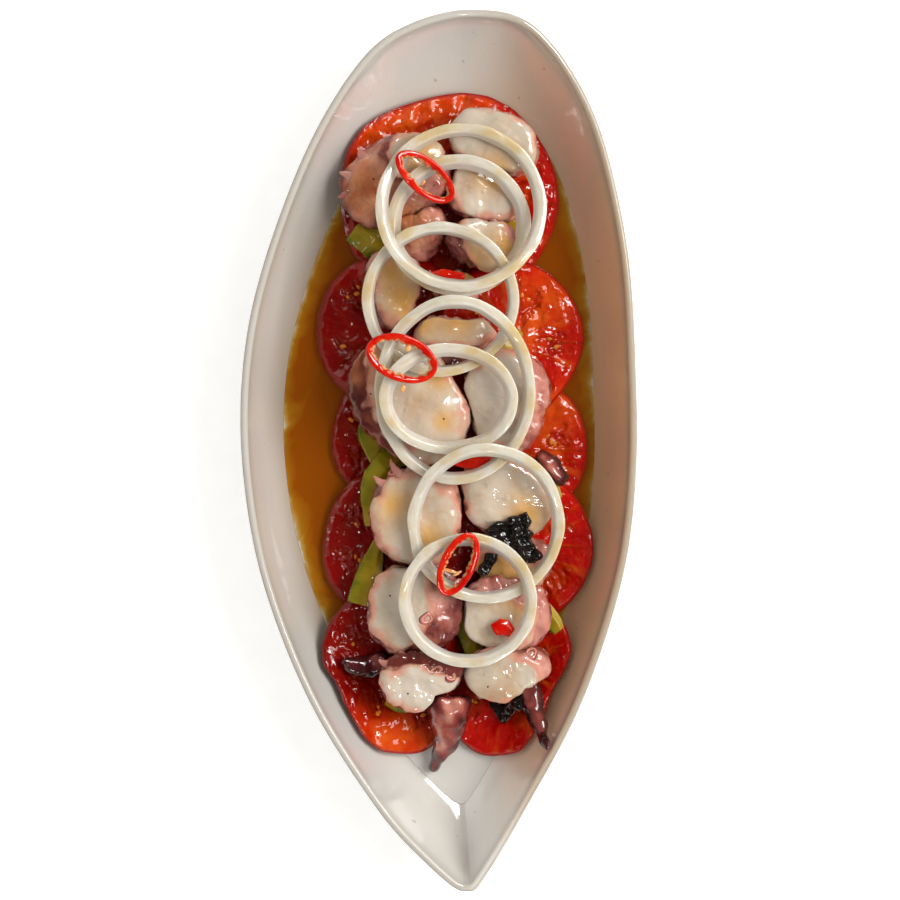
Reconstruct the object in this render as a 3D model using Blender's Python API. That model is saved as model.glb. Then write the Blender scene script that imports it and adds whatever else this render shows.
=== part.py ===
# Octopus salad in its long leaf-shaped dish: tomato slices in a shallow pool of
# dressing, avocado, thick slices of octopus arm in two rows, rings of onion and chilli.
# Lengths are in millimetres until a mesh is made. +Y runs to the round end of the
# dish, +Z is up, and the origin is on the table under the middle of the dish.

import math

import bpy
import numpy as np

for old in list(bpy.data.objects):
    bpy.data.objects.remove(old, do_unlink=True)

MM = 0.001          # one millimetre in metres
GAP = 0.4           # air kept between two pieces that touch

# Dish
RIM_HEIGHT = 42.0
WALL = 3.2          # thickness of the upright wall, measured flat
BASE = 4.0          # thickness of the floor
FLOOR = 6.0         # height of the inside of the floor
FLOOR_SHARE = 0.45  # share of the outline over which the floor is flat
WALL_CURVE = 6.6    # how late the floor turns up into the wall
FOOT_OUT = 0.545    # outer and inner edge of the foot ring, as shares of the outline
FOOT_IN = 0.505
STATIONS = 56       # points round the dish
DISH_OUTLINE = [
    (13.0, 180.2), (-15.0, 173.0), (-34.0, 157.0), (-54.5, 122.5), (-72.5, 74.0),
    (-80.3, 34.0), (-80.3, -8.0), (-72.0, -54.0), (-52.5, -103.5), (-25.0, -147.0),
    (-6.0, -168.0), (4.5, -177.5), (11.0, -180.0), (17.5, -176.0), (35.5, -146.0), (58.0, -103.5),
    (74.5, -54.0), (80.3, -12.0), (80.3, 34.0), (76.5, 85.0), (63.5, 137.0), (40.0, 172.5),
]

# Dressing
LEVEL = 9.6         # height of its surface

# Sizes shared by pieces of one kind
TOMATO_THICK = 5.0
TOMATO_CLIMB = 27.0  # how high the edge of a slice reaches up the wall of the dish
BED_MIDDLE = 4.0     # the line between the left and the right slices, along X
BED_OVERLAP = 5.0    # how far the slices of one side pass under the other side's
AVOCADO_THICK = 4.2
ONION_HIGH = 5.0
ONION_WALL = 3.8
CHILLI_HIGH = 4.0
CHILLI_WALL = 2.8


# Curves and meshes

def smooth_loop(points, count):
    """Points evenly shared out along a closed smooth curve, closer where it bends."""
    pts = np.array(points, float)
    steps = np.linspace(0.0, 1.0, 24, endpoint=False)[:, None]
    curve = []
    for k in range(len(pts)):
        a, b, c, d = (pts[(k + i) % len(pts)] for i in (-1, 0, 1, 2))
        curve.append(b + 0.5 * steps * (c - a) + steps ** 2 * (a - 2.5 * b + 2.0 * c - 0.5 * d)
                     + steps ** 3 * (1.5 * (b - c) + 0.5 * (d - a)))
    curve = np.vstack(curve)
    run = np.roll(curve, -1, axis=0) - curve
    length = np.hypot(run[:, 0], run[:, 1])
    heading = np.unwrap(np.arctan2(run[:, 1], run[:, 0]))
    bend = np.abs(np.gradient(heading))
    along = np.concatenate([[0.0], np.cumsum(length / length.sum() + 0.8 * bend / bend.sum())])
    wanted = np.linspace(0.0, along[-1], count, endpoint=False)
    closed = np.vstack([curve, curve[:1]])
    return np.stack([np.interp(wanted, along, closed[:, i]) for i in (0, 1)], axis=1)


def inward(loop):
    """Unit vectors that point into a loop that runs anticlockwise."""
    run = np.roll(loop, -1, axis=0) - np.roll(loop, 1, axis=0)
    side = np.stack([-run[:, 1], run[:, 0]], axis=1)
    return side / np.linalg.norm(side, axis=1)[:, None]


def ring(xy, z):
    """A loop of 3-D points from a flat loop and its height."""
    return np.column_stack([xy, np.broadcast_to(z, len(xy))])


def loft(rings, bottom, top):
    """Closed solid through rings that run from a bottom point to a top point."""
    count = len(rings[0])
    verts = np.vstack(rings + [bottom, top])
    low, high = len(verts) - 2, len(verts) - 1
    faces = []
    for j in range(count):
        n = (j + 1) % count
        faces.append((low, n, j))
        for k in range(len(rings) - 1):
            a, b = k * count, (k + 1) * count
            faces += [(a + j, a + n, b + n), (a + j, b + n, b + j)]
        last = (len(rings) - 1) * count
        faces.append((high, last + j, last + n))
    return verts, outward(verts, faces)


def sweep(sections, closed):
    """Closed solid through sections set along a path, or all round a hoop."""
    count, sides = len(sections), len(sections[0])
    verts = np.vstack(sections)
    faces = []
    for k in range(count if closed else count - 1):
        a, b = k * sides, (k + 1) % count * sides
        for j in range(sides):
            n = (j + 1) % sides
            faces += [(a + j, a + n, b + n), (a + j, b + n, b + j)]
    if not closed:
        last = (count - 1) * sides
        for j in range(1, sides - 1):
            faces += [(0, j + 1, j), (last, last + j, last + j + 1)]
    return verts, outward(verts, faces)


def outward(verts, faces):
    """The faces, turned over if they enclose a negative volume."""
    tri = verts[np.array(faces)]
    volume = np.einsum("ij,ij->", tri[:, 0], np.cross(tri[:, 1], tri[:, 2]))
    return np.array(faces) if volume > 0 else np.array(faces)[:, ::-1]


def make(name, solid, colour, roughness):
    """The named object, in metres, with its own material."""
    verts, faces = solid
    mesh = bpy.data.meshes.new(name)
    mesh.from_pydata((verts * MM).tolist(), [], faces.tolist())
    mesh.shade_smooth()
    mesh.set_sharp_from_angle(angle=math.radians(50.0))
    surface = bpy.data.materials.new(name)
    surface.use_nodes = True
    shader = surface.node_tree.nodes["Principled BSDF"]
    shader.inputs["Base Color"].default_value = (*colour, 1.0)
    shader.inputs["Roughness"].default_value = roughness
    mesh.materials.append(surface)
    thing = bpy.data.objects.new(name, mesh)
    bpy.context.collection.objects.link(thing)
    PILE.lay(verts, faces)
    return thing


# The pile: how high everything laid so far reaches, on a grid of 1 mm

class Pile:
    HALF_X, HALF_Y = 90, 190

    def __init__(self):
        self.top = np.zeros((2 * self.HALF_X + 1, 2 * self.HALF_Y + 1))
        self.wide = {}

    def cells(self, tri):
        """Grid places under a triangle, and the triangle's height at each."""
        low = np.floor(tri[:, :2].min(axis=0)).astype(int)
        high = np.ceil(tri[:, :2].max(axis=0)).astype(int)
        x, y = np.meshgrid(np.arange(low[0], high[0] + 1), np.arange(low[1], high[1] + 1))
        x, y = x.ravel(), y.ravel()
        a, b, c = tri
        area = (b[0] - a[0]) * (c[1] - a[1]) - (c[0] - a[0]) * (b[1] - a[1])
        if abs(area) < 1e-6:
            return x[:0], y[:0], np.zeros(0)
        v = ((x - a[0]) * (c[1] - a[1]) - (c[0] - a[0]) * (y - a[1])) / area
        w = ((b[0] - a[0]) * (y - a[1]) - (x - a[0]) * (b[1] - a[1])) / area
        inside = (v > -1e-9) & (w > -1e-9) & (v + w < 1 + 1e-9)
        z = a[2] + v * (b[2] - a[2]) + w * (c[2] - a[2])
        return x[inside] + self.HALF_X, y[inside] + self.HALF_Y, z[inside]

    def lay(self, verts, faces):
        """Add a finished piece to the pile."""
        for tri in verts[faces]:
            i, j, z = self.cells(tri)
            np.maximum.at(self.top, (i, j), z)
        for x, y, z in verts:
            i, j = round(x) + self.HALF_X, round(y) + self.HALF_Y
            self.top[i, j] = max(self.top[i, j], z)
        self.wide = {}

    def widened(self, reach):
        """The pile's height, with each place raised to the highest within reach."""
        if reach not in self.wide:
            best = self.top.copy()
            for i in range(-reach, reach + 1):
                for j in range(-reach, reach + 1):
                    if i * i + j * j <= reach * reach + 1:
                        best = np.maximum(best, np.roll(self.top, (i, j), axis=(0, 1)))
            self.wide[reach] = best
        return self.wide[reach]

    def under(self, xy, reach=2):
        """Lowest height that a piece may have at each point."""
        spots = np.rint(xy).astype(int)
        return self.widened(reach)[spots[:, 0] + self.HALF_X, spots[:, 1] + self.HALF_Y] + GAP

    def lift(self, solid, group):
        """Raise the points of a piece, group by group, until its underside is clear."""
        verts, faces = solid
        for _ in range(40):
            tris = verts[faces]
            normal = np.cross(tris[:, 1] - tris[:, 0], tris[:, 2] - tris[:, 0])
            need = np.zeros(group.max() + 1)
            for face, tri in zip(faces[normal[:, 2] < 0], tris[normal[:, 2] < 0]):
                i, j, z = self.cells(tri)
                if len(z):
                    short = (self.widened(1)[i, j] + GAP - z).max()
                    need[group[face]] = np.maximum(need[group[face]], short)
            if need.max() < 0.01:
                break
            verts[:, 2] += need[group]
        return verts, faces


PILE = Pile()


def resting_plane(xy, low):
    """Heights of the lowest stiff plate that clears the low points under it."""
    middle = xy.mean(axis=0)
    away = xy - middle
    slope, step = np.zeros(2), 0.2
    best = (low - away @ slope).max()
    while step > 0.002:
        ways = ((1, 0), (-1, 0), (0, 1), (0, -1), (1, 1), (-1, -1))
        tries = [slope + step * np.array(way) for way in ways]
        levels = [(low - away @ t).max() for t in tries]
        if min(levels) < best - 1e-6:
            best = min(levels)
            slope = tries[int(np.argmin(levels))]
        else:
            step /= 2
    return best + away @ slope


# Dish: a thrown and pressed leaf shape with a rounded rim and a foot ring

OUTLINE = smooth_loop(DISH_OUTLINE, STATIONS)
OUTLINE -= 0.5 * (OUTLINE.min(axis=0) + OUTLINE.max(axis=0))
TO_MIDDLE = inward(OUTLINE)


def inside_height(share):
    """Height of the inside of the dish at a share of the way out to the rim."""
    climb = max(0.0, share - FLOOR_SHARE) / (1.0 - FLOOR_SHARE)
    return FLOOR + (RIM_HEIGHT - 1.6 - FLOOR) * climb ** WALL_CURVE


def dish_ring(share, setback, height):
    """One loop of the dish: the outline made smaller, then set back from the wall."""
    return ring(OUTLINE * share + TO_MIDDLE * setback, height)


INSIDE_SHARES = [0.985, 0.94, 0.88, 0.81, 0.73, 0.58]


def build_dish():
    foot = FLOOR - BASE
    rings = [dish_ring(FOOT_IN - 0.01, 0.0, foot), dish_ring(FOOT_IN, 0.0, 0.0),
             dish_ring(FOOT_OUT, 0.0, 0.0), dish_ring(FOOT_OUT + 0.015, 0.0, foot)]
    for share in (0.74, 0.87, 0.96):
        rings.append(dish_ring(share, 0.0, inside_height(share) - BASE))
    rings += [dish_ring(1.0, 0.0, RIM_HEIGHT - 1.8), dish_ring(1.0, 1.0, RIM_HEIGHT),
              dish_ring(1.0, WALL - 1.0, RIM_HEIGHT)]
    for share in INSIDE_SHARES:
        rings.append(dish_ring(share, WALL, inside_height(share)))
    solid = loft(rings, (0.0, 0.0, foot), (0.0, 0.0, FLOOR))
    make("dish", solid, (0.80, 0.77, 0.71), 0.2)


# Dressing: a level pool that fills the bottom of the dish

def build_dressing():
    shares = [share for share in INSIDE_SHARES if inside_height(share) + GAP < LEVEL - 0.5]
    outer = INSIDE_SHARES[len(INSIDE_SHARES) - len(shares) - 1]
    reach = ((LEVEL - 0.5 - GAP - inside_height(shares[0]))
             / (inside_height(outer) - inside_height(shares[0])))
    edge = shares[0] + reach * (outer - shares[0])
    rings = [dish_ring(share, WALL, inside_height(share) + GAP) for share in reversed(shares)]
    rings += [dish_ring(edge, WALL, LEVEL - 0.5), dish_ring(edge, WALL, LEVEL)]
    solid = loft(rings, (0.0, 0.0, FLOOR + GAP), (0.0, 0.0, LEVEL))
    make("dressing", solid, (0.42, 0.15, 0.03), 0.1)


# Flat slices: one face drapes over what is below, the other lies a thickness above it

def slice_solid(outline, thick, limpness, reach=2):
    """A slice from its outline; limpness 0 is a stiff plate, 1 follows all below it."""
    middle = outline.mean(axis=0)
    shares = (0.5, 0.92, 1.0)
    loops = [middle + share * (outline - middle) for share in shares]
    places = np.vstack([middle[None]] + loops)
    low = PILE.under(places, reach)
    plane = resting_plane(places, low)
    sag = plane - low
    count = len(outline)
    for _ in range(3):
        smooth = sag.copy()
        for k in range(3):
            part = slice(1 + k * count, 1 + (k + 1) * count)
            inner = sag[1 + (k - 1) * count:1 + k * count] if k else sag[:1]
            smooth[part] = (sag[part] + inner + np.roll(sag[part], 1) + np.roll(sag[part], -1)) / 4
        smooth[0] = 0.5 * sag[0] + 0.5 * sag[1:1 + count].mean()
        sag = np.minimum(smooth, plane - low)
    height = plane - limpness * np.maximum(sag, 0.0)
    parts = [height[1 + k * count:1 + (k + 1) * count] for k in range(3)]
    pull = 1.0 - 0.12 * thick / np.linalg.norm(outline - middle, axis=1)[:, None]
    edge = middle + pull * (outline - middle)
    rings = [ring(loops[0], parts[0]), ring(loops[1], parts[1]), ring(edge, parts[2]),
             ring(outline, parts[2] + 0.55 * thick), ring(loops[1], parts[1] + thick),
             ring(loops[0], parts[0] + thick)]
    solid = loft(rings, (*middle, height[0]), (*middle, height[0] + thick))
    columns = np.arange(count)
    group = np.concatenate([columns + 1, columns + 1 + count, columns + 1 + 2 * count,
                            columns + 1 + 2 * count, columns + 1 + count, columns + 1, [0, 0]])
    return PILE.lift(solid, group)


def lobed_circle(x, y, radius, lobes, count):
    """Outline of a slice of ribbed tomato."""
    angle = np.arange(count) * 2 * math.pi / count
    reach = radius * (1.0 + sum(size * np.cos(number * (angle - math.radians(turn)))
                                for number, size, turn in lobes))
    return np.column_stack([x + reach * np.cos(angle), y + reach * np.sin(angle)])


def fit_in_dish(name, outline):
    """The outline, narrowed under the octopus, and drawn in where it climbs the wall."""
    middle = outline.mean(axis=0)
    for side, word in ((1.0, "left"), (-1.0, "right")):
        if word in name:
            inner = side * (outline[:, 0] - middle[0])
            room = side * (BED_MIDDLE - middle[0]) + BED_OVERLAP
            outline[:, 0] += side * np.where(inner > 0, inner * min(0.0, room / inner.max() - 1.0), 0.0)
    for share in np.arange(1.0, 0.6, -0.02):
        drawn = middle + share * (outline - middle)
        high = PILE.under(outline) > TOMATO_CLIMB
        outline = np.where(high[:, None], drawn, outline)
    return outline


# Tomato slices, laid from the bottom up: place, radius, ribs as (number, depth, turn)
TOMATOES = {
    "tomato_left_3": (-15.5, 6.0, 30.5, [(4, 0.02, 20), (3, 0.02, 0)]),
    "tomato_right_3": (31.0, 0.8, 31.5, [(4, 0.025, 50), (3, 0.02, 10)]),
    "tomato_end": (3.6, 103.4, 46.0, [(3, 0.022, 45), (5, 0.02, 70), (1, 0.02, 40)]),
    "tomato_left_4": (-17.3, -39.5, 32.4, [(4, 0.02, 35), (3, 0.015, 100)]),
    "tomato_right_4": (30.0, -40.0, 34.4, [(4, 0.02, 0), (3, 0.02, 60)]),
    "tomato_left_2": (-18.9, 49.8, 33.0, [(4, 0.02, 40), (3, 0.015, 170)]),
    "tomato_right_2": (26.5, 46.0, 34.0, [(3, 0.025, 30), (5, 0.015, 0)]),
    "tomato_left_5": (-10.8, -88.8, 38.0, [(3, 0.02, 150), (5, 0.015, 20)]),
    "tomato_right_5": (21.0, -90.6, 37.2, [(3, 0.02, 100), (4, 0.02, 0)]),
}


def build_tomatoes():
    outlines = {name: fit_in_dish(name, lobed_circle(x, y, radius, lobes, 26))
                for name, (x, y, radius, lobes) in TOMATOES.items()}
    for name, outline in outlines.items():
        make(name, slice_solid(outline, TOMATO_THICK, 1.0), (0.55, 0.03, 0.01), 0.2)


# Strips: avocado wedges and arm tips, a section carried along a path

def strip_solid(path, half_widths, thick, round_top, stations=8):
    """A strip along a path, with a half width at each end and in the middle."""
    pts = np.array(path, float)
    run = np.concatenate([[0.0], np.cumsum(np.linalg.norm(np.diff(pts, axis=0), axis=1))])
    at = np.linspace(0.0, run[-1], stations)
    line = np.column_stack([np.interp(at, run, pts[:, i]) for i in (0, 1)])
    line[1:-1] = (line[:-2] + 2 * line[1:-1] + line[2:]) / 4
    half = np.interp(at / run[-1], np.linspace(0.0, 1.0, len(half_widths)), half_widths)
    along = np.gradient(line, axis=0)
    side = np.column_stack([-along[:, 1], along[:, 0]]) / np.linalg.norm(along, axis=1)[:, None]
    low = np.max([PILE.under(line + k * half[:, None] * side) for k in (-1, -0.5, 0, 0.5, 1)], axis=0)
    for _ in range(4):
        low = np.maximum(low, np.convolve(np.pad(low, 1, mode="edge"), [0.25, 0.5, 0.25], "valid"))
    sections = []
    for centre, out, wide, z in zip(line, side, half, low):
        high = thick * min(1.0, 0.35 + 0.65 * wide / max(half)) if round_top else thick
        shape = [(-0.7, 0.0), (0.7, 0.0), (1.0, 0.4), (0.6, 0.9), (0.0, 1.0), (-0.6, 0.9), (-1.0, 0.4)]
        if not round_top:
            shape = [(-0.9, 0.0), (0.9, 0.0), (1.0, 0.6), (0.4, 1.0), (-0.8, 0.8)]
        sections.append(np.array([(*(centre + a * wide * out), z + b * high) for a, b in shape]))
    solid = sweep(sections, closed=False)
    group = np.repeat(np.arange(stations), len(sections[0]))
    return PILE.lift(solid, group)


# Avocado wedges: path on the bed, then half widths from end to end
AVOCADO = {
    "avocado_1": ([(-24.5, 93.0), (-29.5, 89.0), (-34.0, 83.5)], (7.0, 7.5, 6.5)),
    "avocado_2": ([(17.0, 100.5), (25.3, 96.3), (36.5, 89.5)], (5.0, 5.5, 3.0)),
    "avocado_3": ([(-27.0, 18.0), (-28.5, 8.0), (-26.0, -6.0)], (4.0, 7.0, 2.0)),
    "avocado_4": ([(-15.0, -1.0), (-24.0, -5.5), (-29.0, -14.0), (-28.6, -31.0)], (5.0, 5.0, 2.5)),
    "avocado_5": ([(-25.0, -37.0), (-28.5, -48.0), (-32.5, -63.5)], (2.0, 5.5, 6.5)),
    "avocado_6": ([(40.5, -63.5), (45.5, -69.0), (49.5, -74.5)], (3.5, 4.0, 2.5)),
    "avocado_7": ([(-10.0, -102.5), (-15.5, -105.5), (-21.5, -103.0)], (4.0, 4.0, 2.5)),
    "avocado_8": ([(8.0, -66.0), (11.5, -75.5), (14.5, -84.0)], (4.0, 4.5, 4.0)),
    "avocado_9": ([(24.0, 39.0), (28.6, 45.1), (33.5, 49.5)], (4.0, 4.0, 2.0)),
    "avocado_10": ([(41.0, -9.0), (46.0, -14.8), (49.0, -20.0)], (3.0, 3.5, 2.0)),
}


def build_avocado():
    for name, (path, half_widths) in AVOCADO.items():
        make(name, strip_solid(path, half_widths, AVOCADO_THICK, False), (0.42, 0.46, 0.10), 0.4)


# Thin ends of octopus arms: path from under the slices outwards, half widths, height
TIPS = {
    "arm_tip_front": ([(4.5, -101.0), (4.3, -112.0), (3.2, -121.0), (-3.0, -133.5)],
                      (9.0, 8.5, 5.0, 1.2), 9.0),
    "arm_tip_right": ([(36.5, -96.0), (39.0, -106.0), (44.0, -121.5)], (5.5, 4.2, 1.2), 7.0),
    "arm_tip_left": ([(-21.0, -86.0), (-27.0, -89.5), (-35.0, -90.0), (-39.5, -86.5)],
                     (5.0, 5.0, 2.0), 7.0),
    "arm_tip_side": ([(40.0, -2.0), (46.0, -6.0), (51.5, -13.5)], (4.0, 4.0, 3.0), 7.0),
}


def build_tips():
    for name, (path, half_widths, high) in TIPS.items():
        make(name, strip_solid(path, half_widths, high, True), (0.20, 0.06, 0.08), 0.25)


# Dark crinkled scraps of seaweed: outline, then how limp they are
SEAWEED = {
    "seaweed_1": [(36.5, -26.5), (34.5, -25.0), (28.0, -29.0), (21.5, -30.5), (18.5, -34.5),
                  (25.0, -38.0), (32.0, -43.5), (37.5, -46.5), (41.5, -43.0), (36.5, -35.0)],
    "seaweed_2": [(24.0, -42.0), (19.5, -44.0), (16.0, -49.0), (20.0, -50.5)],
    "seaweed_3": [(34.0, -101.0), (21.0, -100.0), (23.0, -108.5), (26.0, -114.0), (30.5, -109.0)],
}


def build_seaweed(name, count):
    outline = smooth_loop(SEAWEED[name], count)
    make(name, slice_solid(outline, 2.0, 0.9), (0.01, 0.01, 0.012), 0.15)


# Octopus: thick slices across the arms
# Place, half length, half width, turn, height of the top, lean along X and Y, roundness of the top
OCTOPUS = {
    "octopus_1": (-18.0, 111.5, 24.0, 16.0, 28, 34.0, (0.10, 0.15), 0.7),
    "octopus_3": (17.0, 106.0, 17.0, 11.0, -22, 35.0, (0.0, 0.1), 0.4),
    "octopus_2": (22.0, 122.5, 23.0, 16.0, -32, 38.0, (0.1, 0.0), 0.3),
    "octopus_4": (-8.0, 91.5, 12.5, 9.5, 75, 33.0, (0.0, 0.2), 0.6),
    "octopus_6": (-19.5, 68.0, 20.0, 10.5, 84, 33.0, (0.2, 0.0), 0.8),
    "octopus_5": (17.5, 89.0, 19.5, 12.5, -30, 37.0, (-0.1, 0.0), 0.6),
    "octopus_7": (5.5, 70.0, 16.5, 14.5, -10, 36.0, (0.0, 0.0), 0.5),
    "octopus_8": (6.5, 48.5, 21.0, 12.5, -5, 35.0, (0.0, 0.1), 0.6),
    "octopus_9": (-12.5, 20.0, 29.0, 20.0, -52, 39.0, (0.05, 0.0), 0.3),
    "octopus_10": (26.5, 20.0, 21.0, 17.5, 80, 39.0, (0.05, 0.1), 0.35),
    "octopus_11": (-9.0, -26.5, 20.5, 17.8, 80, 38.0, (0.0, 0.0), 0.45),
    "octopus_12": (26.5, -19.0, 20.0, 15.0, -22, 37.0, (0.0, 0.1), 0.35),
    "octopus_13": (29.5, -44.0, 16.5, 11.5, -15, 34.0, (0.0, 0.2), 0.6),
    "octopus_14": (-10.0, -63.0, 21.0, 18.5, 75, 38.0, (0.05, 0.0), 0.7),
    "octopus_15": (26.0, -66.5, 19.5, 14.5, -8, 37.0, (0.0, 0.05), 0.4),
    "octopus_17": (29.0, -90.0, 18.0, 13.0, 6, 38.0, (0.0, 0.1), 0.35),
    "octopus_16": (-5.0, -95.0, 19.0, 13.5, -14, 38.0, (0.0, 0.15), 0.3),
}
OCTOPUS_SIDES = 18


def chunk_solid(x, y, half_long, half_wide, turn, top, lean, roundness, seed):
    """A slice of arm pressed on to what lies below it and in beside its neighbours."""
    lumps = np.random.default_rng(seed)
    centre = np.array([x, y])
    angle = np.arange(OCTOPUS_SIDES) * 2 * math.pi / OCTOPUS_SIDES
    own = angle - math.radians(turn)
    squareness = 2.4
    reach = (np.abs(np.cos(own) / half_long) ** squareness
             + np.abs(np.sin(own) / half_wide) ** squareness) ** (-1 / squareness)
    for number in (3, 4, 5):
        reach *= 1.0 + lumps.uniform(0.0, 0.035) * np.cos(number * own + lumps.uniform(0.0, 6.3))
    out = np.column_stack([np.cos(angle), np.sin(angle)])

    def top_at(xy):
        return top + (xy - centre) @ np.array(lean)

    # Each side is drawn in until its widest place stands clear of the neighbours
    for j in range(OCTOPUS_SIDES):
        steps = np.arange(0.35, 1.001, 0.05) * reach[j]
        spots = centre + steps[:, None] * out[j]
        blocked = np.nonzero(PILE.under(spots) > top_at(spots) - 5.0)[0]
        if len(blocked):
            reach[j] = steps[max(blocked[0] - 1, 0)]
    for _ in range(5):
        reach = np.minimum(reach, (np.roll(reach, 1) + np.roll(reach, -1)) / 2 + 0.7)

    def loop(share):
        return centre + share * reach[:, None] * out

    low_in, low_out = PILE.under(loop(0.5)), PILE.under(loop(0.86))
    low_in = np.maximum(low_in, (np.roll(low_in, 1) + np.roll(low_in, -1)) / 2)
    low_out = np.maximum(low_out, (np.roll(low_out, 1) + np.roll(low_out, -1)) / 2)
    tall = top_at(loop(0.86)) - low_out
    rings = [ring(loop(0.5), low_in), ring(loop(0.86), low_out),
             ring(loop(1.0), np.maximum(low_out + 0.3 * tall, PILE.under(loop(1.0)))),
             ring(loop(0.985), low_out + (0.84 - 0.25 * roundness) * tall),
             ring(loop(0.88 - 0.04 * roundness), top_at(loop(0.88)) - 1.0 - 2.0 * roundness),
             ring(loop(0.5), top_at(loop(0.5)))]
    for lower, upper in zip(rings[1:-1], rings[2:]):
        upper[:, 2] = np.maximum(upper[:, 2], lower[:, 2] + 0.4)
    bottom = (x, y, float(PILE.under(centre[None])[0]))
    solid = loft(rings, bottom, (x, y, top + 0.4 + 1.2 * roundness))
    return PILE.lift(solid, np.arange(len(solid[0])))


def build_octopus():
    for seed, (name, sizes) in enumerate(OCTOPUS.items()):
        make(name, chunk_solid(*sizes, seed), (0.76, 0.62, 0.54), 0.3)


# Hoops: rings of onion and chilli, which bend a little over what they lie on

def hoop_solid(x, y, half_long, half_wide, turn, wall, high, slant, stations):
    """A ring cut from a hollow vegetable, laid over the pile like a springy hoop."""
    angle = np.arange(stations) * 2 * math.pi / stations
    spin = math.radians(turn)
    inset = 0.5 * (wall + abs(slant))

    def loop(away):
        long, wide = half_long - inset + away, half_wide - inset + away
        a, b = long * np.cos(angle), wide * np.sin(angle)
        return np.column_stack([x + a * math.cos(spin) - b * math.sin(spin),
                                y + a * math.sin(spin) + b * math.cos(spin)])

    low = np.max([PILE.under(loop(away)) for away in (-inset, 0.0, inset)], axis=0)
    height = np.full(stations, low.max())
    for _ in range(6000):
        bend = height - 0.5 * (np.roll(height, 1) + np.roll(height, -1))
        force = bend - 0.5 * (np.roll(bend, 1) + np.roll(bend, -1))
        height = np.maximum(height - 0.4 * force - 0.003, low)
    corners = [(-0.5 * (wall + slant), 0.0), (0.5 * (wall - slant), 0.0),
               (0.5 * (wall + slant), high), (-0.5 * (wall - slant), high)]
    loops = [ring(loop(away), height + up) for away, up in corners]
    sections = [np.array([edge[k] for edge in loops]) for k in range(stations)]
    group = np.repeat(np.arange(stations), len(corners))
    return PILE.lift(sweep(sections, closed=True), group)


# Onion rings from the bottom up: place, half length, half width, turn, slant of the band
ONIONS = {
    "onion_ring_1": (8.0, 91.5, 30.0, 29.5, 0, 3.0),
    "onion_ring_2": (0.6, 61.3, 32.1, 31.6, 0, 1.5),
    "onion_ring_3": (9.0, 98.5, 35.0, 35.0, 0, 2.0),
    "onion_ring_4": (6.5, 24.2, 38.5, 33.0, 90, 2.0),
    "onion_ring_5": (4.0, 20.8, 28.5, 23.0, 0, 2.5),
    "onion_ring_6": (19.2, -29.8, 33.0, 32.3, 80, 2.0),
    "onion_ring_7": (11.8, -60.8, 28.6, 27.8, 0, 2.2),
}


def build_onions():
    for name, (x, y, half_long, half_wide, turn, slant) in ONIONS.items():
        solid = hoop_solid(x, y, half_long, half_wide, turn, ONION_WALL, ONION_HIGH, slant, 36)
        make(name, solid, (0.80, 0.78, 0.66), 0.2)


# Chilli rings, cut aslant: place, half length, half width, turn
CHILLIES = {
    "chilli_ring_1": (-5.6, 111.0, 14.6, 7.6, -39),
    "chilli_ring_2": (-14.9, 37.0, 15.2, 9.7, -20),
    "chilli_ring_3": (7.7, -45.9, 14.2, 7.6, 65),
}
# Loose chilli pieces: path, half widths
CHILLI_PIECES = {
    "chilli_piece_1": ([(-5.5, 70.0), (2.1, 71.0), (10.0, 69.8)], (2.2, 3.3, 2.4)),
    "chilli_piece_2": ([(6.0, -4.0), (13.0, -5.2), (21.0, -4.5)], (2.2, 3.0, 2.2)),
    "chilli_piece_3": ([(22.5, -73.5), (26.0, -71.5), (29.5, -74.5)], (2.5, 3.6, 2.0)),
}


def build_chilli_pieces():
    for name, (path, half_widths) in CHILLI_PIECES.items():
        make(name, strip_solid(path, half_widths, 2.6, False, stations=6), (0.60, 0.01, 0.005), 0.2)


def build_chilli_rings():
    for name, (x, y, half_long, half_wide, turn) in CHILLIES.items():
        solid = hoop_solid(x, y, half_long, half_wide, turn, CHILLI_WALL, CHILLI_HIGH, 0.6, 24)
        make(name, solid, (0.60, 0.01, 0.005), 0.2)


build_dish()
build_dressing()
build_tomatoes()
build_avocado()
build_tips()
build_seaweed("seaweed_3", 12)
build_octopus()
build_seaweed("seaweed_1", 16)
build_seaweed("seaweed_2", 10)
build_chilli_pieces()
build_onions()
build_chilli_rings()
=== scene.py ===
# Octopus salad in its long leaf-shaped dish, on a pale table and seen from straight above.
# Each solid of the frame is stood for by a finer piece of the same form. Lengths are in
# millimetres until a mesh is made, and the pieces follow in the order they are laid.

import math

import bmesh
import bpy
import numpy as np
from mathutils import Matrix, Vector
from mathutils.bvhtree import BVHTree


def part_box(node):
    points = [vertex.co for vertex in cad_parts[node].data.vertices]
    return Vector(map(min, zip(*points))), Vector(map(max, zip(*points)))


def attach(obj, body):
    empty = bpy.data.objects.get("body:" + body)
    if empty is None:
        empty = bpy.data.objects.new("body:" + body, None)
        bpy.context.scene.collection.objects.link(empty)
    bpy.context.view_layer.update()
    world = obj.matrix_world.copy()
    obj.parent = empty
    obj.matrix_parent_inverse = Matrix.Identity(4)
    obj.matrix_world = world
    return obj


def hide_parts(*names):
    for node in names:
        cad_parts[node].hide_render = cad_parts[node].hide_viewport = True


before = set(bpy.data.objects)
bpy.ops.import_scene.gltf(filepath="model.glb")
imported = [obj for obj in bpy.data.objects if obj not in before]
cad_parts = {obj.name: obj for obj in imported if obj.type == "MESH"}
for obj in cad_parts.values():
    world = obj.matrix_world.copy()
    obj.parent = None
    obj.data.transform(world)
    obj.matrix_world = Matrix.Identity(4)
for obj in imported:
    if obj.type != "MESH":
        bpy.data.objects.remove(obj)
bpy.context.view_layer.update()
MM = 0.001


# The view and the light
# A long lens hangs a little over a metre above the table. A broad soft light and a tall
# window are on the right, two small lamps add glints, and the room fills in from all sides.

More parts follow.
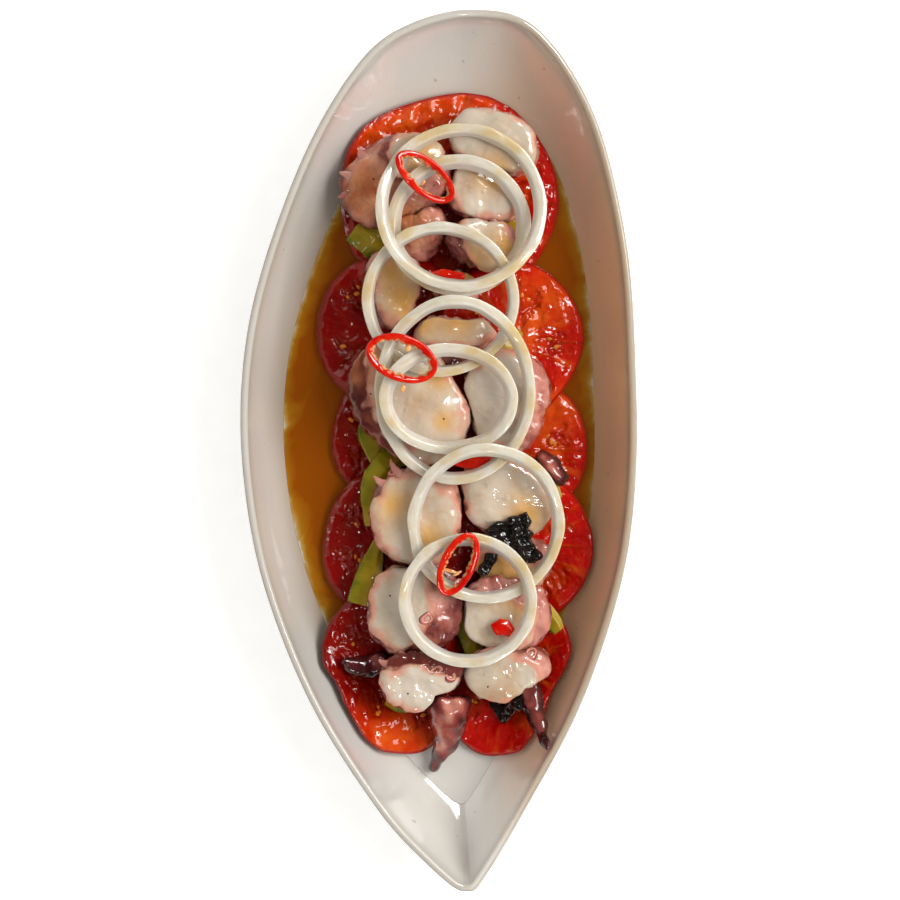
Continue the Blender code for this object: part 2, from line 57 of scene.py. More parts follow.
scene = bpy.context.scene
scene.view_settings.view_transform = "Standard"

camera = bpy.data.objects.new("camera", bpy.data.cameras.new("camera"))
camera.location = (4.5 * MM, 0.2 * MM, 1100.0 * MM)
camera.data.lens = 104.03
camera.data.sensor_width = 36.0
scene.collection.objects.link(camera)
scene.camera = camera


def lamp(name, place, size, watts, colour, use):
    """A rectangular light that faces the middle of the dish: soft light, glints, or both."""
    thing = bpy.data.objects.new(name, bpy.data.lights.new(name, "AREA"))
    thing.data.shape = "RECTANGLE"
    thing.data.size, thing.data.size_y = size
    thing.data.energy = watts
    thing.data.color = colour
    thing.location = place
    thing.rotation_euler = (-Vector(place)).to_track_quat("-Z", "Y").to_euler()
    thing.visible_glossy = use != "soft"
    thing.visible_diffuse = use != "glints"
    scene.collection.objects.link(thing)


lamp("soft_light", (0.90, 0.15, 1.05), (0.8, 0.8), 19.5, (1.0, 0.985, 0.965), "soft")
lamp("window", (0.80, 0.57, 1.00), (0.85, 0.50), 11.0, (1.0, 0.99, 0.975), "glints")
lamp("far_lamp", (0.45, 0.75, 1.15), (0.26, 0.32), 8.0, (1.0, 0.98, 0.95), "glints")
lamp("near_lamp", (0.10, -0.75, 1.20), (0.10, 0.12), 1.6, (1.0, 0.98, 0.95), "glints")

ROOM_LIGHT = 0.72
ROOM_MIRRORED = 0.03
world = bpy.data.worlds.new("room")
world.use_nodes = True
world.node_tree.nodes["Background"].inputs["Color"].default_value = (1.0, 0.985, 0.965, 1.0)
scene.world = world


def add(tree, kind, inputs=(), **settings):
    """A shader node with its settings, and its sockets set to a value or linked to an output."""
    made = tree.nodes.new("ShaderNode" + kind)
    for key, value in settings.items():
        setattr(made, key, value)
    for name, value in dict(inputs).items():
        socket = made.inputs[name]
        if isinstance(value, bpy.types.NodeSocket):
            tree.links.new(value, socket)
        else:
            socket.default_value = (*value, 1.0) if socket.type == "RGBA" else value
    return made


def scaled(tree, value, low, high, to_low=0.0, to_high=1.0):
    """A value taken from one range to another and held inside it."""
    made = add(tree, "MapRange", {0: value, 1: low, 2: high, 3: to_low, 4: to_high})
    return made.outputs[0]


# The room lights the food from all round, but wet surfaces mirror only its darker corners
room = world.node_tree
in_mirror = add(room, "LightPath").outputs["Is Glossy Ray"]
strength = scaled(room, in_mirror, 0.0, 1.0, ROOM_LIGHT, ROOM_MIRRORED)
room.links.new(strength, room.nodes["Background"].inputs["Strength"])


def new_surface(name, **sockets):
    """A material, its node tree and its Principled shader with constant sockets set."""
    surface = bpy.data.materials.new(name)
    surface.use_nodes = True
    tree = surface.node_tree
    shader = tree.nodes["Principled BSDF"]
    for socket, value in sockets.items():
        shader.inputs[socket.replace("_", " ")].default_value = value
    return surface, tree, shader


def mark_of(tree, name):
    """The value of a mark that a piece carries on its points."""
    return add(tree, "Attribute", attribute_name=name).outputs["Fac"]


def ramp(tree, value, stops):
    """A colour ramp from (position, colour) stops."""
    made = add(tree, "ValToRGB", {"Fac": value})
    row = made.color_ramp.elements
    while len(row) < len(stops):
        row.new(0.5)
    for stop, (position, colour) in zip(row, stops):
        stop.position = position
        stop.color = (*colour, 1.0)
    return made.outputs["Color"]


def blend(tree, share, first, second, kind="MIX"):
    """Two colours mixed by a share."""
    made = add(tree, "Mix", {0: share, 6: first, 7: second}, data_type="RGBA", blend_type=kind)
    return made.outputs[2]


def place_of(tree):
    """The point in the frame, in metres, as the pieces have their origins at its origin."""
    return add(tree, "TexCoord").outputs["Object"]


def cloud_of(tree, scale, detail, spot=None):
    """Soft noise over the point in the frame, or over another place."""
    spot = spot or place_of(tree)
    return add(tree, "TexNoise", {"Vector": spot, "Scale": scale, "Detail": detail}).outputs[0]


def place_by_marks(tree, names, scales):
    """A place made up of marks of the piece, each stretched by its own scale."""
    place = add(tree, "CombineXYZ", {i: mark_of(tree, name) for i, name in enumerate(names)})
    return add(tree, "VectorMath", {0: place.outputs[0], 1: scales}, operation="MULTIPLY").outputs[0]


def both(tree, first, second, kind="ADD"):
    """Two values added or multiplied."""
    return add(tree, "Math", {0: first, 1: second}, operation=kind).outputs[0]


table = bpy.data.meshes.new("table")
table.from_pydata([(-3, -3, 0), (3, -3, 0), (3, 3, 0), (-3, 3, 0)], [], [(0, 1, 2, 3)])
table_top, tree, shader = new_surface("table_top", Roughness=0.7, Emission_Strength=0.4,
                                      Emission_Color=(1.0, 1.0, 0.99, 1.0))
paint = ramp(tree, cloud_of(tree, 90.0, 3.0), [(0.3, (0.86, 0.86, 0.85)), (0.7, (0.90, 0.90, 0.89))])
tree.links.new(paint, shader.inputs["Base Color"])
table.materials.append(table_top)
table_thing = bpy.data.objects.new("table", table)
scene.collection.objects.link(table_thing)


# Dish
# Stoneware, thrown and pressed to a leaf shape, dipped in an ivory glaze that thins to
# brown on the edge of the rim. Faint turning lines run round the inside of the wall.

FLOOR = 6.0          # inside of the floor above the table
FLOOR_SHARE = 0.45   # share of the outline over which the floor is flat
WALL_CURVE = 6.6     # how late the floor turns up into the wall
WALL = 3.2           # thickness of the wall, and of the floor
BASE = 4.0
RIM_ROUND = 1.5      # how high the rounded rim stands
STATIONS = 448       # points round each of its loops
FOOT_OUT = 0.545     # edges of the foot ring as shares of the outline
FOOT_IN = 0.505
DISH_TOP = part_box("dish")[1].z / MM
GLAZE = (0.62, 0.61, 0.575)
GLAZE_CREAM = (0.59, 0.56, 0.50)
GLAZE_WARM = (0.88, 0.60, 0.37)   # painted shade on the right wall, with a painted reflection of the tomatoes' red in it
GLAZE_LOW_SHADE = (0.62, 0.48, 0.37)  # painted shade low on the wall: what it leaves of the white
GLAZE_BRIGHT = (0.88, 0.86, 0.83) # painted light inside the pointed end, on its right
# Painted shade along the top of the rim, deeper on the right
RIM_SHADE = (0.58, 0.52, 0.45)
EDGE_BROWN = (0.27, 0.165, 0.10)


def along(points, count):
    """That many values at even steps along a smooth closed curve through points."""
    slope = 0.5 * (np.roll(points, -1, axis=0) - np.roll(points, 1, axis=0))
    at = np.linspace(0.0, len(points), count, endpoint=False)
    i = at.astype(int)
    n = (i + 1) % len(points)
    s = (at - i).reshape((-1,) + (1,) * (points.ndim - 1))
    return ((2 * s ** 3 - 3 * s ** 2 + 1) * points[i] + (s ** 3 - 2 * s ** 2 + s) * slope[i]
            + (3 * s ** 2 - 2 * s ** 3) * points[n] + (s ** 3 - s ** 2) * slope[n])


def corners_of(node):
    """The points of a solid of the frame, each once, and its faces."""
    mesh = bmesh.new()
    mesh.from_mesh(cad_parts[node].data)
    bmesh.ops.remove_doubles(mesh, verts=mesh.verts, dist=0.02 * MM)
    points = np.array([corner.co[:] for corner in mesh.verts]) / MM
    faces = [tuple(corner.index for corner in face.verts) for face in mesh.faces]
    mesh.free()
    return points, faces


def lofted(loops, bottom, top):
    """Points and faces of the skin through loops, closed by a point at each end."""
    loops = np.asarray(loops)
    rows, count = loops.shape[:2]
    points = np.vstack([loops.reshape(-1, 3), bottom, top])
    j = np.arange(count)
    n = np.roll(j, -1)
    faces = []
    for k in range(rows - 1):
        a, b = k * count, (k + 1) * count
        faces += np.column_stack([a + j, a + n, b + n, b + j]).tolist()
    low, last = rows * count, (rows - 1) * count
    faces += np.column_stack([np.full(count, low), n, j]).tolist()
    faces += np.column_stack([np.full(count, low + 1), last + j, last + n]).tolist()
    return outward(points, faces)


def outward(points, faces):
    """The faces, turned over if they enclose a negative volume."""
    fans = [(face[0], face[k], face[k + 1]) for face in faces for k in range(1, len(face) - 1)]
    a, b, c = (points[corners] for corners in np.array(fans).T)
    volume = (a * np.cross(b, c)).sum()
    return points, faces if volume > 0 else [face[::-1] for face in faces]


def build(name, solid, surface, slot, stands_for, **marks):
    """The named piece in the frame, in place of some nodes, with its marks kept on its points."""
    points, faces = solid
    mesh = bpy.data.meshes.new(name)
    mesh.from_pydata((points * MM).tolist(), [], faces)
    mesh.shade_smooth()
    for mark, values in marks.items():
        layer = mesh.attributes.new(mark, "FLOAT", "POINT")
        layer.data.foreach_set("value", np.asarray(values, np.float32))
    mesh.materials.append(surface)
    thing = bpy.data.objects.new(name, mesh)
    scene.collection.objects.link(thing)
    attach(thing, "root")
    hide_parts(*stands_for)


def inside_height(share):
    """Height of the inside of the dish at a share of the way out to the rim."""
    climb = np.clip(share - FLOOR_SHARE, 0.0, None) / (1.0 - FLOOR_SHARE)
    return FLOOR + (DISH_TOP - 1.6 - FLOOR) * climb ** WALL_CURVE


def evened(values, times, closed=True):
    """Values smoothed along their first axis."""
    for _ in range(times):
        if closed:
            values = 0.25 * (np.roll(values, 1, axis=0) + np.roll(values, -1, axis=0)) + 0.5 * values
        else:
            kept = values[[0, -1]].copy()
            values[1:-1] = 0.25 * (values[:-2] + values[2:]) + 0.5 * values[1:-1]
            values[[0, -1]] = kept
    return values


def dish_outline(count):
    """The widest line of the dish as a smooth loop, with the way into the dish at each point."""
    points = corners_of("dish")[0]
    edge = points[np.abs(points[:, 2] - (DISH_TOP - 1.8)) < 0.1][:, :2]
    edge = edge[np.argsort(np.arctan2(edge[:, 1], edge[:, 0]))]
    loop = along(edge, count)
    run = np.roll(loop, -1, axis=0) - np.roll(loop, 1, axis=0)
    into = np.column_stack([-run[:, 1], run[:, 0]]) / np.linalg.norm(run, axis=1)[:, None]
    inner = loop + WALL * into

    # In the pointed end the inner line would cross itself, so there it takes a short cut
    apart = np.linalg.norm(inner[:, None] - loop[None], axis=2).min(axis=1)
    kept = evened((apart > 0.985 * WALL).astype(float), 3) > 0.999
    at = np.arange(count)
    inner = np.column_stack([np.interp(at, at[kept], inner[kept, i], period=count) for i in (0, 1)])
    return loop * 0.9975, evened((inner - loop) / WALL, 6)


OUTLINE, TO_MIDDLE = dish_outline(STATIONS)


def step(low, high, value):
    """A smooth step from 0 at low to 1 at high."""
    t = np.clip((value - low) / (high - low), 0.0, 1.0)
    return t * t * (3 - 2 * t)


def dish_loop(share, setback, height):
    """One loop of the dish: the outline set back by the wall, then made smaller."""
    return np.column_stack([(OUTLINE + TO_MIDDLE * setback) * share, np.full(len(OUTLINE), height)])


foot = FLOOR - BASE
outside = [(0.12, 0.0, foot), (0.3, 0.0, foot), (FOOT_IN - 0.012, 0.0, foot),
           (FOOT_IN - 0.004, 0.0, 0.5), (FOOT_IN + 0.004, 0.0, 0.0), (FOOT_OUT - 0.004, 0.0, 0.0),
           (FOOT_OUT + 0.002, 0.0, 0.5), (FOOT_OUT + 0.012, 0.0, foot)]
outside += [(share, 0.0, inside_height(share) - BASE) for share in np.linspace(0.62, 0.975, 16)]
rim = [(1.0, 0.0, DISH_TOP - 1.9)]
for turn in np.radians(np.arange(0, 181, 15)):
    setback = 0.5 * WALL * (1 - math.cos(turn))
    rim.append((1.0, setback, DISH_TOP - RIM_ROUND + RIM_ROUND * math.sin(turn)))
inside = [(share, WALL, inside_height(share)) for share in np.linspace(0.985, 0.46, 62)]
inside += [(0.3, WALL * 0.6, FLOOR), (0.12, WALL * 0.3, FLOOR)]
profile = outside + rim + inside
loops = np.array([dish_loop(*one) for one in profile])
walls, faces = lofted(loops, (0.0, 0.0, foot), (0.0, 0.0, FLOOR))

# Marks: lines left by the turning, the bare edge, painted shade along the rim and low on the
# wall, painted light in the pointed end, and painted warm shade on the right wall
run = np.linalg.norm(np.roll(OUTLINE, -1, axis=0) - OUTLINE, axis=1)
round_dish = np.concatenate([[0.0], np.cumsum(run)[:-1]])
shares = np.array([share for share, _, _ in profile])
setbacks = np.array([setback for _, setback, _ in profile])
heights = np.array([height for _, _, height in profile])
within = np.arange(len(profile)) >= len(outside) + len(rim) // 2
bare = np.where(within, 0.0, np.exp(-(DISH_TOP - RIM_ROUND - heights).clip(0.0) / 0.8))
bare *= 1.0 - step(0.12, 0.85, setbacks)
faces_left = np.clip(-TO_MIDDLE[:, 0], 0.0, 1.0) ** 0.7
up_dish = OUTLINE[:, 1]
faces_left *= step(-172.0, -120.0, up_dish) * (1.0 - 0.35 * step(60.0, 150.0, up_dish))
# Painted shade along the top of the rim, deeper where the wall faces left
crest = np.exp(-((DISH_TOP - heights) / 2.2) ** 2)[:, None]
crest = crest * (0.5 + 0.5 * np.clip(1.6 * faces_left, 0.0, 1.0))
# Painted shade low on the wall, darker and warmer towards the pool
low_painted_shade = (within * step(1.0, 0.77, shares))[:, None] * step(-152.0, -112.0, up_dish)
low_painted_shade = low_painted_shade * (1.0 - 0.4 * step(80.0, 150.0, up_dish)) * (1.0 - 0.3 * faces_left)
# Painted light inside the pointed end, on its right wall
lit_tip = within[:, None] * np.clip(-TO_MIDDLE[:, 0], 0.0, 1.0) * step(-105.0, -140.0, up_dish)
# Painted warm shade on the right wall, with the tomatoes' red reflected in it
warm = within * step(0.50, 0.74, shares) * (1.0 - 0.6 * step(0.975, 1.0, shares))
warm = warm[:, None] * faces_left


def over_dish(values):
    """Values on every loop and station of the dish, and none on its two middle points."""
    return np.concatenate([np.broadcast_to(values, loops.shape[:2]).ravel(), [0.0, 0.0]])


glaze, tree, shader = new_surface("ivory_glaze", Roughness=0.12, Coat_Weight=0.8, Coat_Roughness=0.03,
                                  Specular_IOR_Level=0.5)
turning_lines = place_by_marks(tree, ("turning", "round_dish"), (90.0, 0.6, 1.0))
brush = cloud_of(tree, 1.0, 3.0, turning_lines)
paint = ramp(tree, cloud_of(tree, 14.0, 2.0), [(0.35, GLAZE), (0.75, GLAZE_CREAM)])
paint = blend(tree, scaled(tree, brush, 0.45, 0.75, 0.0, 0.30), paint, GLAZE_CREAM)
paint = blend(tree, mark_of(tree, "lit_tip"), paint, GLAZE_BRIGHT)
paint = blend(tree, mark_of(tree, "warm"), paint, GLAZE_WARM)
paint = blend(tree, mark_of(tree, "low_painted_shade"), paint, GLAZE_LOW_SHADE, "MULTIPLY")
paint = blend(tree, mark_of(tree, "crest"), paint, RIM_SHADE, "MULTIPLY")
chips = scaled(tree, cloud_of(tree, 120.0, 3.0), 0.3, 0.7, -0.2, 0.2)
worn = both(tree, mark_of(tree, "bare"), chips)
paint = blend(tree, scaled(tree, worn, 0.5, 0.85), paint, EDGE_BROWN)
specks = scaled(tree, cloud_of(tree, 260.0, 1.0), 0.76, 0.80, 0.0, 0.45)
paint = blend(tree, specks, paint, EDGE_BROWN)
tree.links.new(paint, shader.inputs["Base Color"])
bump = add(tree, "Bump", {"Strength": 0.08, "Distance": 0.0006, "Height": brush})
tree.links.new(bump.outputs[0], shader.inputs["Normal"])
dish_marks = {"turning": shares[:, None], "round_dish": round_dish, "bare": bare[:, None], "warm": warm,
              "lit_tip": lit_tip, "low_painted_shade": low_painted_shade, "crest": crest}
dish_marks = {mark: over_dish(values) for mark, values in dish_marks.items()}
build("dish_glazed", (walls, faces), glaze, "dish", ["dish"], **dish_marks)


# Dressing
# Oil and tomato juice lie level in the bottom of the dish: amber where the pool is deep,
# straw yellow where it thins out against the glaze.

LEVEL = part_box("dressing")[1].z / MM
JUICE_DEEP = (0.26, 0.060, 0.001)
JUICE_AMBER = (0.35, 0.14, 0.006)
JUICE_THIN = (0.45, 0.29, 0.08)
JUICE_EDGE = (0.57, 0.52, 0.44)
JUICE_WATERY = (0.63, 0.61, 0.57)
SURFACE_LOOPS = 32   # loops of its surface, and of its bed on the glaze
BED_LOOPS = 8
tried = np.linspace(0.5, 1.0, 400)
shore = float(np.interp(LEVEL, inside_height(tried), tried))
pool_shares = shore - (shore - 0.05) * np.linspace(0.0, 1.0, SURFACE_LOOPS) ** 1.7
surface_loops = [dish_loop(share, WALL + 0.12, LEVEL) for share in pool_shares]
bed_loops = [dish_loop(share, WALL + 0.1, max(inside_height(share) + 0.1, FLOOR + 0.2))
             for share in np.linspace(0.1, shore - 0.004, BED_LOOPS)]
pool_loops = np.array(bed_loops + surface_loops)
pool, faces = lofted(pool_loops, (0.0, 0.0, FLOOR + 0.2), (0.0, 0.0, LEVEL))
depth = LEVEL - inside_height(np.concatenate([np.linspace(0.1, shore, BED_LOOPS), pool_shares]))
depth = np.concatenate([np.repeat(depth, len(OUTLINE)), [LEVEL - FLOOR, LEVEL - FLOOR]])
watery = step(-106.0, -122.0, pool[:, 1])

juice, tree, shader = new_surface("amber_dressing", Roughness=0.04, Coat_Weight=0.2, Coat_Roughness=0.02)
swirl = add(tree, "TexNoise", {"Vector": place_of(tree), "Scale": 45.0, "Detail": 4.0, "Distortion": 1.2})
uneven = scaled(tree, swirl.outputs[0], 0.3, 0.7, -1.1, 1.1)
paint = ramp(tree, scaled(tree, both(tree, mark_of(tree, "depth"), uneven), -0.3, 4.0),
             [(0.0, JUICE_EDGE), (0.10, JUICE_THIN), (0.30, JUICE_AMBER), (0.70, JUICE_DEEP)])
paint = blend(tree, mark_of(tree, "watery"), paint, JUICE_WATERY)
tree.links.new(paint, shader.inputs["Base Color"])
oil_rings = add(tree, "TexVoronoi", {"Vector": place_of(tree), "Scale": 150.0})
round_drop = scaled(tree, oil_rings.outputs["Distance"], 0.0, 0.35, 1.0, 0.0)
bump = add(tree, "Bump", {"Strength": 0.25, "Distance": 0.0006, "Height": round_drop})
tree.links.new(bump.outputs[0], shader.inputs["Normal"])
build("dressing_pool", (pool, faces), juice, "dressing", ["dressing"], depth=depth, watery=watery)


# Tomato
# Slices of a large ribbed tomato, about 5 mm thick, cut across. The skin is a thin dark
# line round each one, and the wet face has a firm wall, seed chambers and pale streaks.

TOMATOES = [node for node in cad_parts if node.startswith("tomato_")]
AROUND = 240         # points round a slice, and loops from its middle to its edge
ACROSS = 44
SEED = (1.45, 0.95, 0.5)
# Places on the bed where the flesh is orange, and where painted shade makes it dark crimson: x, y, reach
ORANGE = [(-10, 135, 14), (-26, 125, 10), (9, 147, 12), (44, 62, 12), (33, 50, 10), (54, 20, 8),
          (48, 1, 7), (-22, -116, 12), (-6, -121, 9), (44, 13, 7), (-37, 11, 5)]
SHADE_SPOTS = [(-46, 54, 26), (-42, 100, 12), (-40, -30, 26), (-42, -80, 26), (-42, 10, 20), (-26, -92, 14),
        (0, -100, 20), (0, 0, 34), (0, 60, 30), (0, -60, 30)]


def ripples(points, size, seed, waves=14):
    """Smooth unevenness between about -1 and 1, with lumps of the given size."""
    draw = np.random.default_rng(seed)
    way = draw.normal(size=(waves, points.shape[-1]))
    way *= (2 * math.pi / size) * draw.uniform(0.6, 1.5, (waves, 1)) / np.linalg.norm(way, axis=1)[:, None]
    shift = draw.uniform(0.0, 2 * math.pi, waves)
    total = sum(np.cos(points @ w + s) for w, s in zip(way, shift))
    return total * 1.4 / math.sqrt(waves)


ABOVE = 120.0        # heights well over and under all the food
BELOW = -20.0


def shell_of(points, faces):
    """A skin that straight lines can be tried against."""
    return BVHTree.FromPolygons(points.tolist(), faces)


def met(shell, x, y, above=True):
    """Where a plumb line from above or below meets a skin, and its normal there, or None twice."""
    start, way = (ABOVE, -1) if above else (BELOW, 1)
    return shell.ray_cast(Vector((x, y, start)), Vector((0, 0, way)))[:2]


def heights_met(shell, xy, above=True):
    """Height at which the plumb line through each point of a grid meets a skin, or nan."""
    spots = [met(shell, x, y, above)[0] for x, y in xy.reshape(-1, 2)]
    return np.array([spot.z if spot else math.nan for spot in spots]).reshape(xy.shape[:-1])


def near_spots(xy, spots):
    """How strongly a field of soft spots is felt at each point."""
    total = np.zeros(xy.shape[:-1])
    for x, y, reach in spots:
        total += np.exp(-((xy[..., 0] - x) ** 2 + (xy[..., 1] - y) ** 2) / reach ** 2)
    return np.clip(total, 0.0, 1.0)


def ball(centre, radii, spin, rings, sides):
    """A small seed or drop: a rounded form turned about the upright axis."""
    loops = []
    for k in range(1, rings):
        dip = math.pi * k / rings
        a = np.arange(sides) * 2 * math.pi / sides
        x, y = radii[0] * math.sin(dip) * np.cos(a), radii[1] * math.sin(dip) * np.sin(a)
        loops.append(np.column_stack([x * math.cos(spin) - y * math.sin(spin),
                                      x * math.sin(spin) + y * math.cos(spin),
                                      np.full(sides, -radii[2] * math.cos(dip))]))
    points, faces = lofted(loops, (0, 0, -radii[2]), (0, 0, radii[2]))
    return points + np.asarray(centre), faces


def joined(pieces, **resting):
    """Pieces, each a solid with marks of its own, as one solid and its marks."""
    points, faces, start = [], [], 0
    marks = {mark: [] for mark in resting}
    for (part, some), own in pieces:
        points.append(part)
        faces += [[corner + start for corner in face] for face in some]
        start += len(part)
        for mark, value in resting.items():
            marks[mark].append(np.broadcast_to(own.get(mark, value), len(part)))
    return (np.vstack(points), faces), {mark: np.concatenate(rows) for mark, rows in marks.items()}


def wet_film():
    """Uneven wetness: a mottle, the roughness that goes with it, and grain with small drops."""
    group = bpy.data.node_groups.new("wet_film", "ShaderNodeTree")
    usual = {"Scale": 150.0, "Smoothest": 0.12, "Roughest": 0.30, "Grain": 0.3, "Drops": 0.5}
    for socket, value in usual.items():
        made = group.interface.new_socket(socket, in_out="INPUT", socket_type="NodeSocketFloat")
        made.default_value = value
    for socket in ("Mottle", "Roughness", "Height"):
        group.interface.new_socket(socket, in_out="OUTPUT", socket_type="NodeSocketFloat")
    given = group.nodes.new("NodeGroupInput").outputs
    result = group.nodes.new("NodeGroupOutput").inputs
    spot = place_of(group)
    mottle = cloud_of(group, given["Scale"], 4.0, spot)
    cells = add(group, "TexVoronoi", {"Vector": spot, "Scale": 300.0})
    drop = scaled(group, cells.outputs["Distance"], 0.05, 0.30, 1.0, 0.0)
    chosen = add(group, "SeparateColor", {0: cells.outputs["Color"]}).outputs[0]
    drop = both(group, drop, scaled(group, chosen, 0.62, 0.66), "MULTIPLY")
    grain = both(group, cloud_of(group, 420.0, 3.0, spot), given["Grain"], "MULTIPLY")
    height = both(group, both(group, drop, given["Drops"], "MULTIPLY"), grain)
    span = scaled(group, mottle, 0.3, 0.7, given["Smoothest"], given["Roughest"])
    for socket, value in (("Mottle", mottle), ("Roughness", span), ("Height", height)):
        group.links.new(value, result[socket])
    return group


WET_FILM = wet_film()


def wetted(tree, shader, film, relief, distance=0.0006, more=None):
    """Joins a wet film to a material: its roughness and its bump. Returns its mottle."""
    wet = add(tree, "Group", film, node_tree=WET_FILM)
    tree.links.new(wet.outputs["Roughness"], shader.inputs["Roughness"])
    height = wet.outputs["Height"]
    if more:
        height = both(tree, height, more)
    bump = add(tree, "Bump", {"Strength": relief, "Distance": distance, "Height": height})
    tree.links.new(bump.outputs[0], shader.inputs["Normal"])
    return wet.outputs["Mottle"]


def tomato_surface():
    """Wet tomato: red wall, softer gel in the chambers, straw seeds, a thin dark skin, and painted shade.
    """
    surface, tree, shader = new_surface("tomato_flesh", Coat_Weight=0.8, Coat_Roughness=0.03,
                                        Specular_IOR_Level=0.05)
    streaks = cloud_of(tree, 1.0, 3.0, place_by_marks(tree, ("turn", "share"), (6.0, 2.2, 1.0)))
    film = {"Scale": 120.0, "Smoothest": 0.2, "Roughest": 0.4, "Grain": 0.35, "Drops": 0.7}
    mottle = wetted(tree, shader, film, 0.8, more=streaks)
    red = ramp(tree, mottle, [(0.3, (0.40, 0.0010, 0.0004)), (0.7, (0.56, 0.006, 0.0008))])
    orange = ramp(tree, mottle, [(0.3, (0.52, 0.020, 0.001)), (0.75, (0.68, 0.095, 0.004))])
    wall = blend(tree, mark_of(tree, "orange"), red, orange)
    wall = blend(tree, scaled(tree, streaks, 0.52, 0.72, 0.0, 0.7), wall, (0.64, 0.085, 0.004))
    gel = ramp(tree, mottle, [(0.3, (0.36, 0.003, 0.0005)), (0.7, (0.58, 0.045, 0.002))])
    paint = blend(tree, mark_of(tree, "gel"), wall, gel)
    paint = blend(tree, mark_of(tree, "seed"), paint, (0.58, 0.17, 0.015))
    paint = blend(tree, mark_of(tree, "skin"), paint, (0.32, 0.004, 0.001))
    # Painted shade: dark crimson on the left of the bed and under the octopus
    paint = blend(tree, mark_of(tree, "dark"), paint, (0.14, 0.0008, 0.0003))
    height = add(tree, "SeparateXYZ", {0: place_of(tree)}).outputs[2]
    soaked = scaled(tree, height, (LEVEL + 4.0) * MM, (LEVEL + 0.2) * MM, 0.0, 0.7)
    paint = blend(tree, soaked, paint, JUICE_DEEP)
    tree.links.new(paint, shader.inputs["Base Color"])
    return surface


